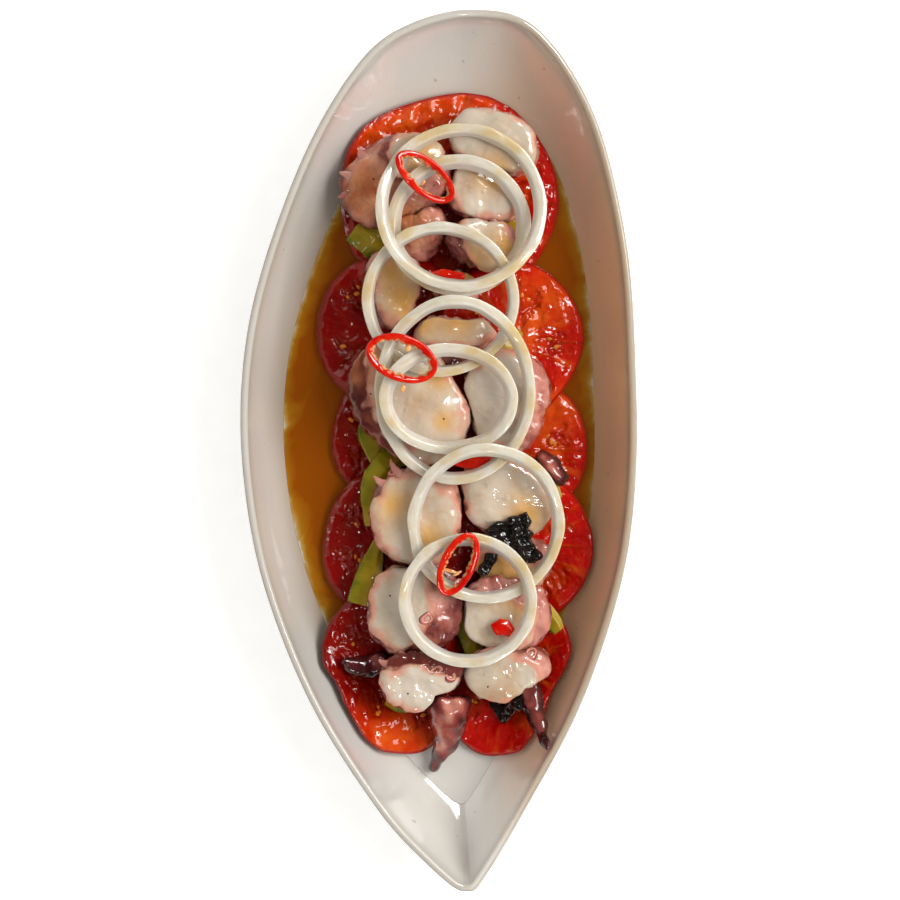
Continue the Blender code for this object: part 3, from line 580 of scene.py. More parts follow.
def tomato_slice(name, seed, surface):
    """One slice, draped as its solid is, with chambers sunk in its upper face."""
    draw = np.random.default_rng(seed)
    solid = shell_of(*corners_of(name))
    low, high = (np.array(corner[:2]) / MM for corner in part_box(name))
    middle = 0.5 * (low + high)
    turn = np.arange(AROUND) * 2 * math.pi / AROUND
    out = np.column_stack([np.cos(turn), np.sin(turn)])
    far = 0.62 * np.linalg.norm(high - low)
    steps = np.arange(far, 0.3 * far, -0.3)
    reach = np.zeros(AROUND)
    for j in range(AROUND):
        for distance in steps:
            if met(solid, *(middle + distance * out[j]))[0]:
                reach[j] = distance
                break
    reach = evened(reach, 6) - 0.15
    shares = 1.0 - np.linspace(1.0, 0.0, ACROSS) ** 1.25 * 0.97
    xy = middle + shares[:, None, None] * (reach[:, None] * out)
    inner = middle + np.minimum(shares, 0.975)[:, None, None] * (reach[:, None] * out)
    top, under = (evened(evened(heights_met(solid, inner, above), 3, closed=False).T, 5).T
                  for above in (True, False))

    # Seed chambers between the ribs, with gel and seeds
    count = int(draw.integers(5, 8))
    starts = np.arange(count) * 2 * math.pi / count + draw.uniform(0, 6.3)
    gel = np.zeros_like(top)
    seeds = []
    for start in starts:
        wide = draw.uniform(0.20, 0.30) * 6.0 / count
        inner_share, outer_share = draw.uniform(0.34, 0.46), draw.uniform(0.74, 0.82)
        away = (turn - start + math.pi) % (2 * math.pi) - math.pi
        wobble = 0.03 * ripples(xy.reshape(-1, 2), 6.0, seed + 7).reshape(top.shape)
        across = 1.0 - np.abs(away)[None, :] / (wide * (0.75 + 0.5 * shares[:, None])) + 3 * wobble
        length = np.minimum(shares[:, None] - inner_share, outer_share - shares[:, None]) + wobble
        gel = np.maximum(gel, step(0.0, 0.35, across) * step(0.0, 0.05, length))
        for _ in range(int(draw.integers(0, 4))):
            share = draw.uniform(inner_share + 0.05, outer_share - 0.04)
            angle = start + draw.uniform(-0.7, 0.7) * wide
            k = int(np.searchsorted(shares, share))
            j = int(round(angle / (2 * math.pi) * AROUND)) % AROUND
            seeds.append((k, j, draw.uniform(0.0, 6.3)))
    gel *= 1.0 - step(0.88, 0.94, shares)[:, None]
    flat = xy.reshape(-1, 2)
    coarse = 0.6 if name == "tomato_end" else 0.24
    relief = coarse * ripples(flat, 8.0, seed).reshape(top.shape)
    relief += 0.4 * coarse * ripples(flat, 3.2, seed + 1).reshape(top.shape)
    relief += 0.05 * ripples(flat, 1.6, seed + 3).reshape(top.shape)
    relief += -0.8 * gel + 0.35 * gel * ripples(flat, 3.0, seed + 2).reshape(top.shape)
    rounded = step(0.955, 1.0, shares)[:, None]
    face = top + relief * (1.0 - rounded) - 0.2 - 0.9 * rounded ** 2
    sole = under + 0.1 + 1.0 * rounded ** 2
    thickness = face[-1] - sole[-1]
    side = []
    for up, proud in ((0.25, 0.18), (0.5, 0.25), (0.75, 0.18)):
        edge = middle + (reach + proud)[:, None] * out
        side.append(np.column_stack([edge, sole[-1] + up * thickness]))
    lower = np.concatenate([xy, sole[..., None]], axis=2)[::3]
    upper = np.concatenate([xy, face[..., None]], axis=2)[::-1]
    lower[-1] = np.column_stack([xy[-1], sole[-1]])
    loops = np.concatenate([lower, np.array(side), upper])
    skin_solid = lofted(loops, (*middle, sole[0].mean()), (*middle, face[0].mean()))

    def over_loops(values, side_value, under_value):
        """Values on the upper face, with one value for the side and one for the underside."""
        rows = [np.full((len(lower), AROUND), under_value), np.full((len(side), AROUND), side_value)]
        body = np.concatenate([*rows, values[::-1]])
        return np.concatenate([body.ravel(), [under_value, values[0].mean()]])

    places = np.concatenate([loops.reshape(-1, 3)[:, :2], [middle, middle]])
    own = {
        "share": over_loops(np.repeat(shares[:, None], AROUND, axis=1), 1.0, 0.9),
        "turn": np.concatenate([np.tile(turn, len(loops)), [0.0, 0.0]]),
        "gel": over_loops(gel, 0.0, 0.0),
        "skin": over_loops(np.repeat(step(0.972, 0.985, shares)[:, None], AROUND, axis=1), 1.0, 0.0),
        "orange": near_spots(places, ORANGE),
        "dark": 0.85 * near_spots(places, SHADE_SPOTS),
    }
    pieces = [(skin_solid, own)]
    for k, j, spin in seeds:
        spot = (*xy[k, j], face[k, j] - 0.1)
        pieces.append((ball(spot, SEED, spin, 5, 8), {"share": 0.6, "seed": 1.0}))
    whole, marks = joined(pieces, **dict.fromkeys([*own, "seed"], 0.0))
    build(name + "_slice", whole, surface, "tomato", [name], **marks)


tomato_flesh = tomato_surface()
for number, node in enumerate(sorted(TOMATOES)):
    tomato_slice(node, 100 + number, tomato_flesh)


# Avocado
# Soft ripe wedges tucked under the octopus, yellow-green inside and greener towards the
# side that lay against the skin, smooth where the knife passed.

AVOCADOS = [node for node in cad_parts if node.startswith("avocado_")]


def softened(name, levels, crispness=0.0):
    """The solid of the frame rounded by subdivision: points, faces and normals."""
    points, faces = corners_of(name)
    mesh = bpy.data.meshes.new("soft")
    mesh.from_pydata(points.tolist(), [], faces)
    crease = mesh.attributes.new("crease_edge", "FLOAT", "EDGE")
    crease.data.foreach_set("value", np.full(len(mesh.edges), crispness, np.float32))
    thing = bpy.data.objects.new("soft", mesh)
    scene.collection.objects.link(thing)
    smoother = thing.modifiers.new("soft", "SUBSURF")
    smoother.levels = smoother.render_levels = levels
    made = thing.evaluated_get(bpy.context.evaluated_depsgraph_get()).to_mesh()
    points = np.array([corner.co[:] for corner in made.vertices])
    faces = [list(face.vertices) for face in made.polygons]
    normals = np.array([corner.normal[:] for corner in made.vertices])
    bpy.data.objects.remove(thing)
    return points, faces, normals


def own_axes(points):
    """Places along and across a strip, from -1 to 1, on its own long and short directions."""
    flat = points[:, :2] - points[:, :2].mean(axis=0)
    long_way = np.linalg.svd(flat, full_matrices=False)[2][0]
    if long_way[1] < 0:
        long_way = -long_way
    length, width = flat @ long_way, flat @ np.array([-long_way[1], long_way[0]])
    return length / np.abs(length).max(), width / np.abs(width).max()


avocado_flesh, tree, shader = new_surface("avocado_flesh", Subsurface_Weight=0.12, Subsurface_Scale=0.002,
                                          Coat_Weight=0.6, Coat_Roughness=0.06, Specular_IOR_Level=0.1)
film = {"Scale": 160.0, "Smoothest": 0.2, "Roughest": 0.42, "Grain": 0.5, "Drops": 0.2}
mottle = wetted(tree, shader, film, 0.3)
shade = both(tree, mark_of(tree, "across"), scaled(tree, mottle, 0.3, 0.7, -0.3, 0.3))
paint = ramp(tree, scaled(tree, shade, -1.1, 1.1),
             [(0.0, (0.06, 0.09, 0.003)), (0.2, (0.20, 0.17, 0.006)), (0.55, (0.34, 0.22, 0.010)),
              (1.0, (0.50, 0.40, 0.10))])
tree.links.new(paint, shader.inputs["Base Color"])
for number, node in enumerate(sorted(AVOCADOS)):
    points, faces, normals = softened(node, 3, 0.9)
    width = own_axes(points)[1]
    points = points + normals * (0.10 * ripples(points, 6.0, 300 + number) + 0.3)[:, None]
    build(node + "_wedge", (points, faces), avocado_flesh, "avocado", [node], across=-width)


# Octopus
# Thick slices across boiled arms. The cut faces are white, slightly domed and glossy with
# oil, and the skin round them is pink to purple, torn to points here and there.

OCTOPUSES = [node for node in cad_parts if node.startswith("octopus_")]
ROUND = 132          # points round a slice, and steps from its top to its underside
DOWN = 66
# White cut faces seen from above: x, y, half length, half width, turn
FACES = {
    "octopus_1": (-8.6, 122.7, 11.5, 9.0, 25),
    "octopus_2": (20.8, 127.6, 20.0, 13.0, -25),
    "octopus_3": (18.4, 107.2, 16.5, 10.5, -20),
    "octopus_5": (20.8, 85.0, 14.0, 8.5, -50),
    "octopus_6": (-17.0, 67.6, 14.5, 7.5, 80),
    "octopus_7": (6.0, 74.5, 15.5, 11.5, -10),
    "octopus_8": (4.5, 51.2, 18.0, 8.5, 0),
    "octopus_9": (-8.6, 20.6, 28.0, 17.0, -66),
    "octopus_10": (22.5, 20.5, 20.0, 14.5, 78),
    "octopus_11": (-9.0, -28.5, 18.5, 17.0, 75),
    "octopus_12": (28.2, -20.8, 19.5, 14.5, -30),
    "octopus_13": (24.9, -52.1, 17.5, 9.5, -5),
    "octopus_14": (-15.0, -63.0, 17.0, 12.0, 78),
    "octopus_15": (21.2, -70.0, 17.0, 12.0, -10),
    "octopus_16": (-5.3, -98.6, 17.0, 9.0, -15),
    "octopus_17": (25.0, -92.5, 16.5, 10.5, -5),
}
# Suckers that show: x, y and radius
SUCKERS = {
    "octopus_11": [(-18.8, -8.8, 1.8)],
    "octopus_14": [(-4.5, -68.5, 2.4)],
    "octopus_16": [(-1.2, -89.6, 1.8), (4.4, -92.2, 2.2)],
    "octopus_17": [(38.0, -82.4, 2.3)],
}
# Torn points of skin: from x, y to x, y, and the width at the root
FRILLS = {
    "octopus_1": [(-36.0, 112.0, -41.0, 115.5, 6.0), (-37.0, 106.0, -42.0, 105.0, 5.0),
                  (-30.0, 120.0, -33.0, 125.0, 6.0)],
    "octopus_2": [(17.0, 133.5, 15.0, 141.5, 7.0), (22.0, 134.0, 22.5, 142.0, 6.0),
                  (26.5, 133.0, 29.0, 139.0, 5.0)],
    "octopus_5": [(9.4, 98.0, 10.4, 106.0, 5.4), (16.4, 95.5, 15.4, 103.2, 5.6),
                  (22.4, 94.0, 24.4, 99.2, 5.0)],
    "octopus_11": [(-16.0, -11.5, -19.6, -3.0, 5.4), (-20.6, -14.5, -27.2, -10.2, 5.0),
                   (-11.0, -11.0, -12.0, -4.0, 5.2)],
    "octopus_14": [(-3.0, -49.0, 3.0, -44.5, 6.0), (4.5, -56.0, 9.5, -53.0, 5.0)],
    "octopus_16": [(-19.0, -89.0, -24.5, -85.0, 6.0), (-13.0, -86.0, -16.0, -81.0, 5.5)],
    "octopus_17": [(43.0, -80.0, 46.0, -74.5, 6.0)],
}
# Ground pepper on the pieces
SPECKS = [(-26.9, 111.3), (-25.7, 105.6), (-2.0, 108.8), (-27.8, 23.1), (2.9, 19.4), (2.0, 12.9),
          (-12.7, -99.4), (20.0, -96.6), (-20.0, -59.4), (-1.2, -50.8), (22.5, -81.5)]
# Yellow oil lying on the pieces, skin that cooked to tan, and dark purple skin with painted shade in the
# gaps between slices: x, y, reach
OIL = [(23, 112.5, 8), (-6, 118, 9), (12, 74, 8), (8, 54, 9), (-9, 52, 7), (-14, 62, 9), (0, 30, 6),
       (30, -54, 11), (26, -47, 9), (15, -50, 8), (-19, -22, 7), (-4, -36, 7), (36, -26, 8), (40, -64, 8),
       (-26, 38, 7), (8, 66, 8), (-20, 74, 6), (2, 12, 5), (28, 84, 7)]
TAN = [(-33, 108, 17), (-31, 32, 13), (-22, 4, 12), (-26, 66, 7), (-12, 52, 5), (24, 48, 6), (-12, 92, 10),
       (-3, -84, 10), (-18, -88, 7)]
PURPLE = [(-9, 52, 4), (24, 52, 5), (-2, 80, 4), (-22, -76, 6), (9, -76, 5), (-16, -84, 6), (-1, -50, 5),
          (9, -44, 5), (9, -66, 5), (-24, -44, 5), (14, 101, 4), (7, 36, 4), (-6, -87, 5), (4, -88, 5),
          (9, -90, 4), (-14, -71, 3), (-3, -73, 4), (4, -80, 5), (-20, -48, 5), (-12, -46, 4),
          (12, -60, 4), (13, -74, 4), (16, -101, 5), (28, -104, 6), (40, -99, 4), (30, -80, 4),
          (-24, 92, 4), (-20, -94, 4), (-28, -20, 4), (-6, 4, 5), (8, 8, 5), (6, 28, 4), (8, -20, 5),
          (10, -32, 5), (-34, 20, 4), (-26, 52, 4)]
PEPPER = (0.5, 0.38, 0.25)
SPREAD = 1.1         # how far the soft slices bulge over their neighbours
FLATTEN = 0.8        # how flat the knife left the cut faces


def across_grid(points, way):
    """Unit normals of a grid of points whose second axis runs round, on the side of way."""
    down = np.gradient(points, axis=0)
    sideways = np.roll(points, -1, axis=1) - np.roll(points, 1, axis=1)
    normal = np.cross(sideways, down)
    normal /= np.maximum(np.linalg.norm(normal, axis=2), 1e-9)[..., None]
    middle = len(way) // 2
    return normal if (normal[middle] * way[middle]).sum() >= 0 else -normal


def sucker(centre, up, radius, seed):
    """A sucker: a soft uneven cup with a raised rim and a hollow middle."""
    section = [(1.35, -0.6, 0.0), (1.24, -0.25, 0.0), (1.12, 0.02, 0.08), (0.98, 0.2, 0.6),
               (0.78, 0.26, 1.0), (0.56, 0.16, 0.8), (0.40, -0.06, 0.35), (0.24, -0.28, 0.1)]
    sides = 26
    turn = np.arange(sides) * 2 * math.pi / sides
    uneven = 1.0 + 0.16 * ripples(np.column_stack([np.cos(turn), np.sin(turn)]) * 3, 9.0, seed)
    uneven *= 1.0 - 0.16 * np.cos(2.0 * turn + seed)
    axis = Vector(up).normalized()
    first = axis.orthogonal().normalized()
    second = axis.cross(first)
    loops = []
    for out, high, _ in section:
        r = radius * out * uneven
        flat = np.outer(r * np.cos(turn), first) + np.outer(r * np.sin(turn), second)
        loops.append(np.asarray(centre) + flat + np.outer(radius * high * uneven, axis))
    low = np.asarray(centre) - 0.6 * radius * np.array(axis)
    high = np.asarray(centre) - 0.36 * radius * np.array(axis)
    cup = np.concatenate([np.repeat([mark for _, _, mark in section], sides), [0.0, 0.06]])
    return lofted(loops, low, high), cup


def frill(root, tip, width, seed):
    """A torn point of skin: a flat lobe that narrows to its tip."""
    root, tip = np.asarray(root, float), np.asarray(tip, float)
    along_it = tip - root
    sideways = np.cross([0.0, 0.0, 1.0], along_it)
    sideways /= np.linalg.norm(sideways)
    up = np.cross(along_it, sideways)
    up /= np.linalg.norm(up)
    turn = np.arange(12) * 2 * math.pi / 12
    loops = []
    for t in np.linspace(0.0, 0.96, 9):
        thin = (1.0 - t) ** 0.75
        bend = 0.12 * width * math.sin(4.0 * t + seed)
        middle = root + t * along_it + bend * sideways
        loops.append(middle + 0.5 * width * thin * np.outer(np.cos(turn), sideways)
                     + 0.26 * width * thin * np.outer(np.sin(turn), up))
    return lofted(loops, root - 0.1 * along_it, tip)


def octopus_surface():
    """Boiled octopus: white flesh with a yellow cast of oil, thin pink to purple skin, and painted shade in
    dark purple.
    """
    surface, tree, shader = new_surface("octopus_flesh", Subsurface_Weight=0.3, Subsurface_Scale=0.003,
                                        Subsurface_Radius=(1.0, 0.45, 0.3), Coat_Weight=1.0,
                                        Coat_Roughness=0.03, Specular_IOR_Level=0.3)
    film = {"Scale": 110.0, "Smoothest": 0.16, "Roughest": 0.32, "Grain": 0.35, "Drops": 0.5}
    mottle = wetted(tree, shader, film, 0.55)
    flesh = ramp(tree, cloud_of(tree, 55.0, 4.0),
                 [(0.30, (0.58, 0.50, 0.41)), (0.50, (0.53, 0.44, 0.335)), (0.68, (0.46, 0.30, 0.18))])
    flesh = blend(tree, scaled(tree, mottle, 0.55, 0.75, 0.0, 0.5), flesh, (0.60, 0.55, 0.48))
    flesh = blend(tree, mark_of(tree, "oil"), flesh, (0.66, 0.33, 0.055))
    pink = ramp(tree, mottle, [(0.3, (0.36, 0.075, 0.055)), (0.7, (0.63, 0.33, 0.26))])
    tan = ramp(tree, mottle, [(0.3, (0.38, 0.095, 0.03)), (0.7, (0.56, 0.22, 0.08))])
    purple = ramp(tree, mottle, [(0.3, (0.045, 0.004, 0.006)), (0.7, (0.18, 0.020, 0.021))])
    skin = blend(tree, mark_of(tree, "tan"), pink, tan)
    # The purple mark brings dark purple skin together with painted shade
    skin = blend(tree, mark_of(tree, "purple"), skin, purple)
    past = both(tree, mark_of(tree, "past_edge"), scaled(tree, mottle, 0.3, 0.7, -0.16, 0.16))
    peach = blend(tree, scaled(tree, past, 0.82, 1.0, 0.0, 0.9), flesh, (0.60, 0.25, 0.165))
    paint = blend(tree, scaled(tree, past, 1.0, 1.12), peach, skin)
    cup = ramp(tree, mark_of(tree, "cup"), [(0.05, (0.20, 0.035, 0.035)), (0.3, (0.34, 0.08, 0.055)),
                                            (0.6, (0.46, 0.14, 0.10)), (1.0, (0.55, 0.24, 0.18))])
    paint = blend(tree, scaled(tree, mark_of(tree, "cup"), 0.0, 0.05), paint, cup)
    paint = blend(tree, mark_of(tree, "pepper"), paint, (0.02, 0.012, 0.01))
    tree.links.new(paint, shader.inputs["Base Color"])
    return surface


def octopus_slice(name, seed, surface):
    """One slice with the form of its solid, its cut face, wrinkled skin, suckers and pepper."""
    solid = shell_of(*corners_of(name))
    low, high = (np.array(corner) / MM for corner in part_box(name))
    centre = 0.5 * (low + high)
    dip = np.linspace(0.0, math.pi, DOWN + 1)
    turn = np.arange(ROUND) * 2 * math.pi / ROUND
    tall = (high[2] - low[2]) / np.mean((high - low)[:2])
    way = np.stack([np.outer(np.sin(dip), np.cos(turn)), np.outer(np.sin(dip), np.sin(turn)),
                    np.outer(np.cos(dip), np.ones(ROUND)) * tall], axis=2)
    reach = np.ones(way.shape[:2])
    for k in range(DOWN + 1):
        for j in range(ROUND):
            spot = solid.ray_cast(Vector(centre), Vector(way[k, j]))[0]
            if spot:
                reach[k, j] = (spot - Vector(centre)).length / np.linalg.norm(way[k, j])
    for _ in range(2):
        reach = evened(reach.T, 2).T
        reach = evened(reach, 1, closed=False)
    form = centre + reach[..., None] * way
    normal = across_grid(form, way)
    up = normal[..., 2]

    # How far each point is from the middle of the cut face: 1 at its edge, more on the skin
    edge = np.full(form.shape[:2], 1.5)
    painted_shade = np.zeros(edge.shape)
    if name in FACES:
        x, y, long, wide, spin = FACES[name]
        spin = math.radians(spin)
        dx, dy = form[..., 0] - x, form[..., 1] - y
        u = (dx * math.cos(spin) + dy * math.sin(spin)) / long
        v = (-dx * math.sin(spin) + dy * math.cos(spin)) / wide
        edge = np.sqrt(u * u + v * v) + 0.05 * ripples(form, 8.0, seed)
        edge = np.clip(np.maximum(edge, 1.5 * step(0.25, -0.15, up)), 0.0, 1.6)
        # Painted shade: a dark band just outside the cut face on its left
        leftward = (-0.85 * dx - 0.5 * dy) / np.maximum(np.hypot(dx, dy), 1e-6)
        painted_shade = 0.9 * np.exp(-((edge - 1.18) / 0.16) ** 2) * step(0.0, 0.5, leftward)
    skin = step(0.95, 1.25, edge)
    if name in FACES:
        cut = (edge < 0.85) & (up > 0.3)
        if cut.sum() > 12:
            spread = np.column_stack([form[cut][:, :2], np.ones(cut.sum())])
            slope = np.linalg.lstsq(spread, form[cut][:, 2], rcond=None)[0]
            level = form[..., :2] @ slope[:2] + slope[2]
            knife = FLATTEN * (1.0 - step(0.94, 1.10, edge)) * step(0.1, 0.4, up)
            form[..., 2] += knife * (level - form[..., 2]).clip(-1.5, 1.6)
            normal = across_grid(form, way)

    # Wrinkles and valleys in the skin, shallow dents in the cut face
    valleys = np.exp(-(ripples(form, 11.0, seed + 1) / 0.16) ** 2)
    dents = np.exp(-(ripples(form, 15.0, seed + 5) / 0.22) ** 2)
    wrinkle = 0.1 + 0.36 * ripples(form, 6.0, seed + 6) + 0.13 * ripples(form, 2.6, seed + 2)
    smooth = 0.34 * ripples(form, 13.0, seed + 3) + 0.06 * ripples(form, 4.0, seed + 4)
    relief = skin * (wrinkle - 0.35 * valleys) + (1.0 - skin) * (smooth - 0.15 * dents)
    relief += 0.45 * np.exp(-((edge - 1.03) / 0.06) ** 2) * step(0.0, 0.4, up)
    relief *= step(-0.9, -0.5, up)
    # Painted shade on the lower sides
    low_side = step(0.72, 0.15, up) * (0.6 + 0.4 * ripples(form, 14.0, seed + 7))
    bulge = SPREAD * step(-0.85, -0.2, up)[..., None] * normal * (1.0, 1.0, 0.0)
    form = form + (relief - 0.1)[..., None] * normal + bulge
    grown = lofted(form[1:-1][::-1], form[-1, 0], form[0, 0])

    def over_rows(values):
        """Values of the grid in the order of the points of the slice."""
        return np.concatenate([values[1:-1][::-1].ravel(), [values[-1, 0], values[0, 0]]])

    over = form[..., :2]
    # Painted shade where the skin faces left and down, on the lower sides and in the creases
    turned = (normal @ np.array([-0.9, -0.45, 0.0])).clip(0.0)
    painted_shade = painted_shade + 0.9 * step(0.3, 0.8, turned) + 0.85 * low_side
    purple = np.clip(painted_shade + 1.4 * near_spots(over, PURPLE) + 0.12 * valleys * skin, 0.0, 1.0)
    pieces = [(grown, {
        "past_edge": over_rows(edge), "purple": over_rows(0.9 * purple),
        "tan": over_rows(near_spots(over, TAN)),
        "oil": over_rows(0.8 * near_spots(over, OIL) * step(0.1, 0.6, up)),
    })]
    shell = shell_of(*grown)
    for number, (x, y, radius) in enumerate(SUCKERS.get(name, [])):
        spot, way_up = met(shell, x, y)
        if spot:
            made, cup = sucker(spot, way_up + Vector((0, 0, 0.3)), radius, seed + number)
            pieces.append((made, {"cup": cup}))
    for number, (x0, y0, x1, y1, width) in enumerate(FRILLS.get(name, [])):
        spot = met(shell, x0, y0)[0]
        if spot:
            root, tip = (x0, y0, spot.z - 0.35 * width), (x1, y1, spot.z - 0.5 * width)
            pieces.append((frill(root, tip, width, seed + number), {}))
    for x, y in SPECKS:
        spot = met(shell, x, y)[0]
        if spot:
            pieces.append((ball(spot, PEPPER, x, 4, 6), {"pepper": 1.0}))
    whole, marks = joined(pieces, past_edge=1.3, purple=0.12, tan=0.0, oil=0.0, cup=0.0, pepper=0.0)
    build(name + "_slice", whole, surface, "octopus", [name], **marks)


octopus_flesh = octopus_surface()
for number, node in enumerate(sorted(OCTOPUSES)):
    octopus_slice(node, 500 + 10 * number, octopus_flesh)


# Arm ends
# The thin last stretch of an arm, all skin: mauve with painted light on top, painted shade
# at the sides and along the lower edge, nearly black at the tip, wet and a little ridged
# along its length.

TIPS = [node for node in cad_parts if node.startswith("arm_tip_")]
# How much lighter or darker each one is painted
DUSK = {"arm_tip_front": -0.06, "arm_tip_right": -0.26, "arm_tip_left": -0.30, "arm_tip_side": -0.16}
tip_skin, tree, shader = new_surface("arm_end_skin", Subsurface_Weight=0.1, Subsurface_Scale=0.002,
                                     Coat_Weight=0.8, Coat_Roughness=0.04)
film = {"Scale": 120.0, "Smoothest": 0.14, "Roughest": 0.30, "Grain": 0.35, "Drops": 0.2}
mottle = wetted(tree, shader, film, 0.35)
shade = both(tree, mark_of(tree, "upper"), scaled(tree, mottle, 0.3, 0.7, -0.12, 0.12))
paint = ramp(tree, shade, [(0.15, (0.012, 0.003, 0.004)), (0.45, (0.07, 0.009, 0.011)),
                           (0.72, (0.26, 0.050, 0.038)), (0.95, (0.58, 0.25, 0.17))])
tree.links.new(paint, shader.inputs["Base Color"])
for number, node in enumerate(sorted(TIPS)):
    points, faces, normals = softened(node, 3)
    length, width = own_axes(points)
    relief = 0.3 * ripples(points, 7.0, 700 + number) + 0.3
    relief += 0.3 * np.cos(5.0 * width + 0.1 * points[:, 1])
    points = points + normals * relief[:, None]
    # Painted light where the skin faces up, painted shade towards its sides, and a darker tip end
    upper = 0.35 * step(0.1, 0.9, normals[:, 2]) + 0.55 * (1 - width ** 2)
    upper += 0.08 * ripples(points, 8.0, 720 + number)
    upper += DUSK[node] - 0.4 * step(0.3, 1.0, -length)
    build(node + "_skin", (points, faces), tip_skin, "octopus_skin", [node], upper=upper)


# Seaweed
# Thin black scraps, crumpled and shining with oil.

SEAWEEDS = [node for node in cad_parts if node.startswith("seaweed_")]
seaweed_skin, tree, shader = new_surface("seaweed_skin", Coat_Weight=0.8, Coat_Roughness=0.05,
                                         Specular_IOR_Level=0.2)
film = {"Scale": 200.0, "Smoothest": 0.14, "Roughest": 0.26, "Grain": 0.3, "Drops": 0.15}
mottle = wetted(tree, shader, film, 0.5)
paint = ramp(tree, mottle, [(0.3, (0.003, 0.003, 0.003)), (0.75, (0.014, 0.010, 0.008))])
tree.links.new(paint, shader.inputs["Base Color"])
for number, node in enumerate(sorted(SEAWEEDS)):
    points, faces, normals = softened(node, 3, 0.8)
    crumple = 0.7 * ripples(points, 6.5, 800 + number) + 0.10 * ripples(points, 2.4, 810 + number)
    points = points + normals * (crumple + 0.1)[:, None]
    build(node + "_scrap", (points, faces), seaweed_skin, "seaweed", [node])


# Onion
# Rings of raw white onion, each one layer thick: milky and half clear, with fine lines
# along them, paler at both edges, and wet with yellow oil.

ONIONS = [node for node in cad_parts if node.startswith("onion_ring_")]


def hoop_sections(name):
    """The four corners of a hoop's section, in order round it, at each station of its solid."""
    points = corners_of(name)[0]
    middle = points[:, :2].mean(axis=0)
    angle = np.arctan2(points[:, 1] - middle[1], points[:, 0] - middle[0])
    order = np.argsort(angle)
    gaps = np.diff(np.concatenate([angle[order], [angle[order[0]] + 2 * math.pi]]))
    order = np.roll(order, -(int(np.argmax(gaps)) + 1))
    sections = []
    for group in order.reshape(-1, 4):
        four = points[group]
        four = four[np.argsort(four[:, 2])]
        reach = np.linalg.norm(four[:, :2] - middle, axis=1)
        low = [0, 1] if reach[0] < reach[1] else [1, 0]
        high = [3, 2] if reach[2] < reach[3] else [2, 3]
        sections.append(four[low + high])
    return np.array(sections)


def hoop(name, stations, sides, roundness, seed, uneven, veins=0.0, broad=1.0):
    """A ring with rounded edges, a little inside its solid, with marks on its points."""
    fine = along(hoop_sections(name), stations)
    turn = np.arange(sides) * 2 * math.pi / sides
    u = np.sign(np.cos(turn)) * np.abs(np.cos(turn)) ** roundness
    v = np.sign(np.sin(turn)) * np.abs(np.sin(turn)) ** roundness
    inner_low, outer_low, outer_high, inner_high = (fine[:, k, None, :] for k in range(4))
    a, b = (0.5 + 0.5 * broad * u)[None, :, None], (0.5 + 0.5 * v)[None, :, None]
    points = (1 - b) * ((1 - a) * inner_low + a * outer_low) + b * ((1 - a) * inner_high + a * outer_high)
    centre = points.mean(axis=1, keepdims=True)
    swell = 0.93 + uneven * ripples(points, 16.0, seed) + veins * np.cos(5.0 * turn)
    points = centre + (points - centre) * swell[..., None]
    run = np.linalg.norm(np.roll(centre[:, 0], -1, axis=0) - centre[:, 0], axis=1)
    ways = np.repeat(np.concatenate([[0.0], np.cumsum(run)[:-1]])[:, None], sides, axis=1)
    faces = []
    j = np.arange(sides)
    n = np.roll(j, -1)
    for k in range(stations):
        a, b = k * sides, (k + 1) % stations * sides
        faces += np.column_stack([a + j, a + n, b + n, b + j]).tolist()
    marks = {"way": ways.ravel(), "across": np.tile(u, stations), "up": np.tile(v, stations)}
    return outward(points.reshape(-1, 3), faces), marks


onion_flesh, tree, shader = new_surface("onion_flesh", Subsurface_Weight=0.9, Subsurface_Scale=0.005,
                                        Subsurface_Radius=(1.0, 0.9, 0.65), Coat_Weight=0.8,
                                        Coat_Roughness=0.04, Specular_IOR_Level=0.4)
lines = cloud_of(tree, 2.2, 4.0, place_by_marks(tree, ("way", "across", "up"), (0.10, 0.9, 0.9)))
film = {"Scale": 60.0, "Smoothest": 0.12, "Roughest": 0.28, "Grain": 0.2, "Drops": 0.5}
mottle = wetted(tree, shader, film, 0.3, 0.0005, lines)
milky = ramp(tree, lines, [(0.35, (0.55, 0.50, 0.40)), (0.65, (0.60, 0.57, 0.50))])
clear = blend(tree, scaled(tree, mottle, 0.47, 0.62, 0.0, 0.75), milky, (0.52, 0.385, 0.17))
at_edge = add(tree, "Math", {0: mark_of(tree, "across")}, operation="ABSOLUTE").outputs[0]
paint = blend(tree, scaled(tree, at_edge, 0.7, 0.98, 0.0, 0.6), clear, (0.60, 0.58, 0.53))
tree.links.new(paint, shader.inputs["Base Color"])
for number, node in enumerate(sorted(ONIONS)):
    ring_solid, marks = hoop(node, 240, 24, roundness=0.45, seed=900 + number, uneven=0.05,
                             veins=0.02, broad=1.16)
    build(node + "_layer", ring_solid, onion_flesh, "onion", [node], **marks)


# Chilli
# Thin rings and scraps of fresh red chilli: a glossy skin outside, and inside a ragged
# pale orange wall with a few seeds.

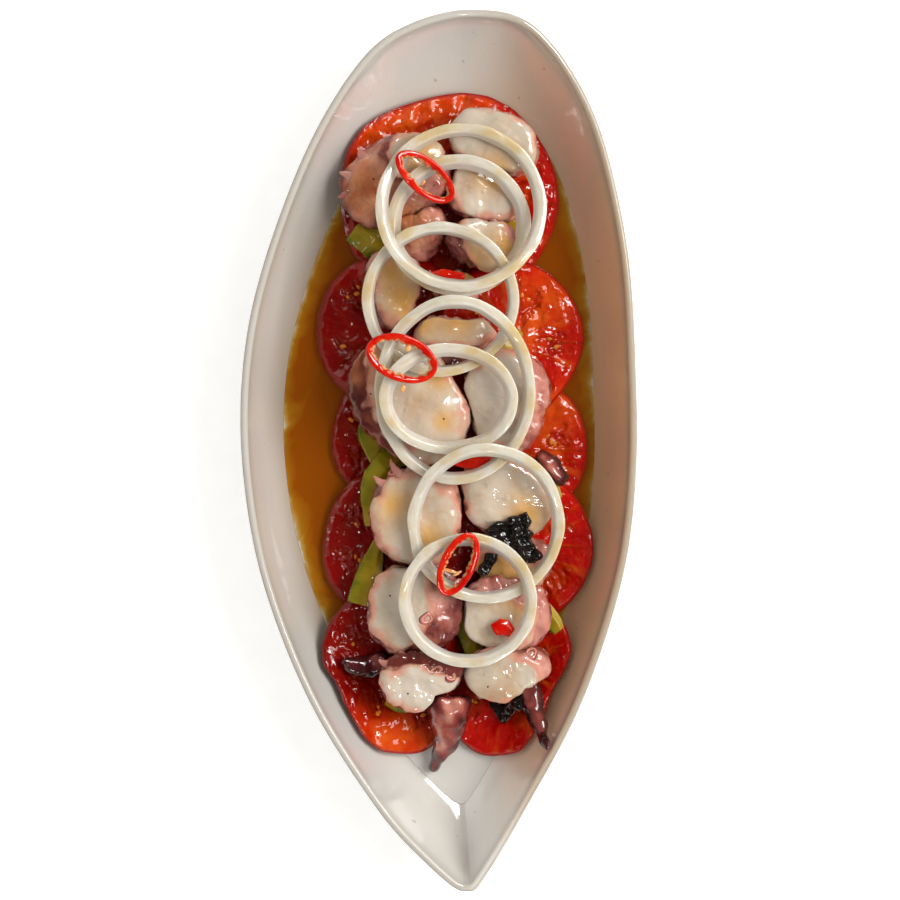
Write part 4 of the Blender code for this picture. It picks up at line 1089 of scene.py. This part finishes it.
CHILLIES = [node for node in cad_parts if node.startswith("chilli_ring_")]
CHILLI_PIECES = [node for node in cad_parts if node.startswith("chilli_piece_")]
chilli_flesh, tree, shader = new_surface("chilli_flesh", Subsurface_Weight=0.05, Subsurface_Scale=0.001,
                                         Coat_Weight=0.9, Coat_Roughness=0.03, Specular_IOR_Level=0.1)
film = {"Scale": 260.0, "Smoothest": 0.10, "Roughest": 0.22, "Grain": 0.2, "Drops": 0.2}
mottle = wetted(tree, shader, film, 0.25, 0.0004)
red = ramp(tree, mottle, [(0.3, (0.46, 0.003, 0.001)), (0.7, (0.62, 0.016, 0.002))])
torn = both(tree, mark_of(tree, "inner"), scaled(tree, mottle, 0.3, 0.7, -0.3, 0.3))
pith = ramp(tree, torn, [(0.6, (0.66, 0.09, 0.02)), (1.0, (0.66, 0.36, 0.14))])
paint = blend(tree, scaled(tree, torn, 0.5, 0.8), red, pith)
tree.links.new(paint, shader.inputs["Base Color"])
# Seeds and strips of pith that hang in the rings: ring, x, y, length, width, turn
PITH = [("chilli_ring_2", -14.0, 44.0, 1.7, 1.3, 0.2), ("chilli_ring_2", -12.2, 41.0, 1.5, 1.2, 1.0),
        ("chilli_ring_3", 4.2, -48.6, 3.4, 0.8, -0.25), ("chilli_ring_3", 7.4, -49.8, 2.2, 0.7, 0.5),
        ("chilli_ring_1", -6.4, 108.6, 1.4, 0.7, 0.9), ("chilli_ring_2", -14.4, 24.8, 1.6, 1.1, 1.3)]
for number, node in enumerate(sorted(CHILLIES)):
    (points, faces), marks = hoop(node, 180, 18, roundness=0.7, seed=950 + number, uneven=0.05)
    middle = points.mean(axis=0)
    ragged = np.clip(-marks["across"], 0.0, 1.0) ** 2 * (0.35 + 0.45 * ripples(points, 2.2, 960 + number))
    toward = middle[:2] - points[:, :2]
    toward /= np.linalg.norm(toward, axis=1)[:, None]
    points[:, :2] += toward * ragged[:, None]
    pieces = [((points, faces), {"inner": np.clip(-marks["across"], 0.0, 1.0) ** 3})]
    level = np.median(points[:, 2])
    for ring, x, y, length, width, turn in PITH:
        if ring == node:
            near = points[np.argmin(np.hypot(points[:, 0] - x, points[:, 1] - y))]
            centre = (x, y, 0.5 * (near[2] + level))
            pieces.append((ball(centre, (length, width, 0.5), turn, 6, 10), {}))
    whole, marks = joined(pieces, inner=1.0)
    build(node + "_wall", whole, chilli_flesh, "chilli", [node], **marks)
for number, node in enumerate(sorted(CHILLI_PIECES)):
    points, faces, normals = softened(node, 3, 0.6)
    points = points + normals * (0.14 * ripples(points, 7.0, 970 + number) + 0.2)[:, None]
    width = own_axes(points)[1]
    build(node + "_scrap", (points, faces), chilli_flesh, "chilli", [node], inner=0.75 * np.abs(width) ** 4)
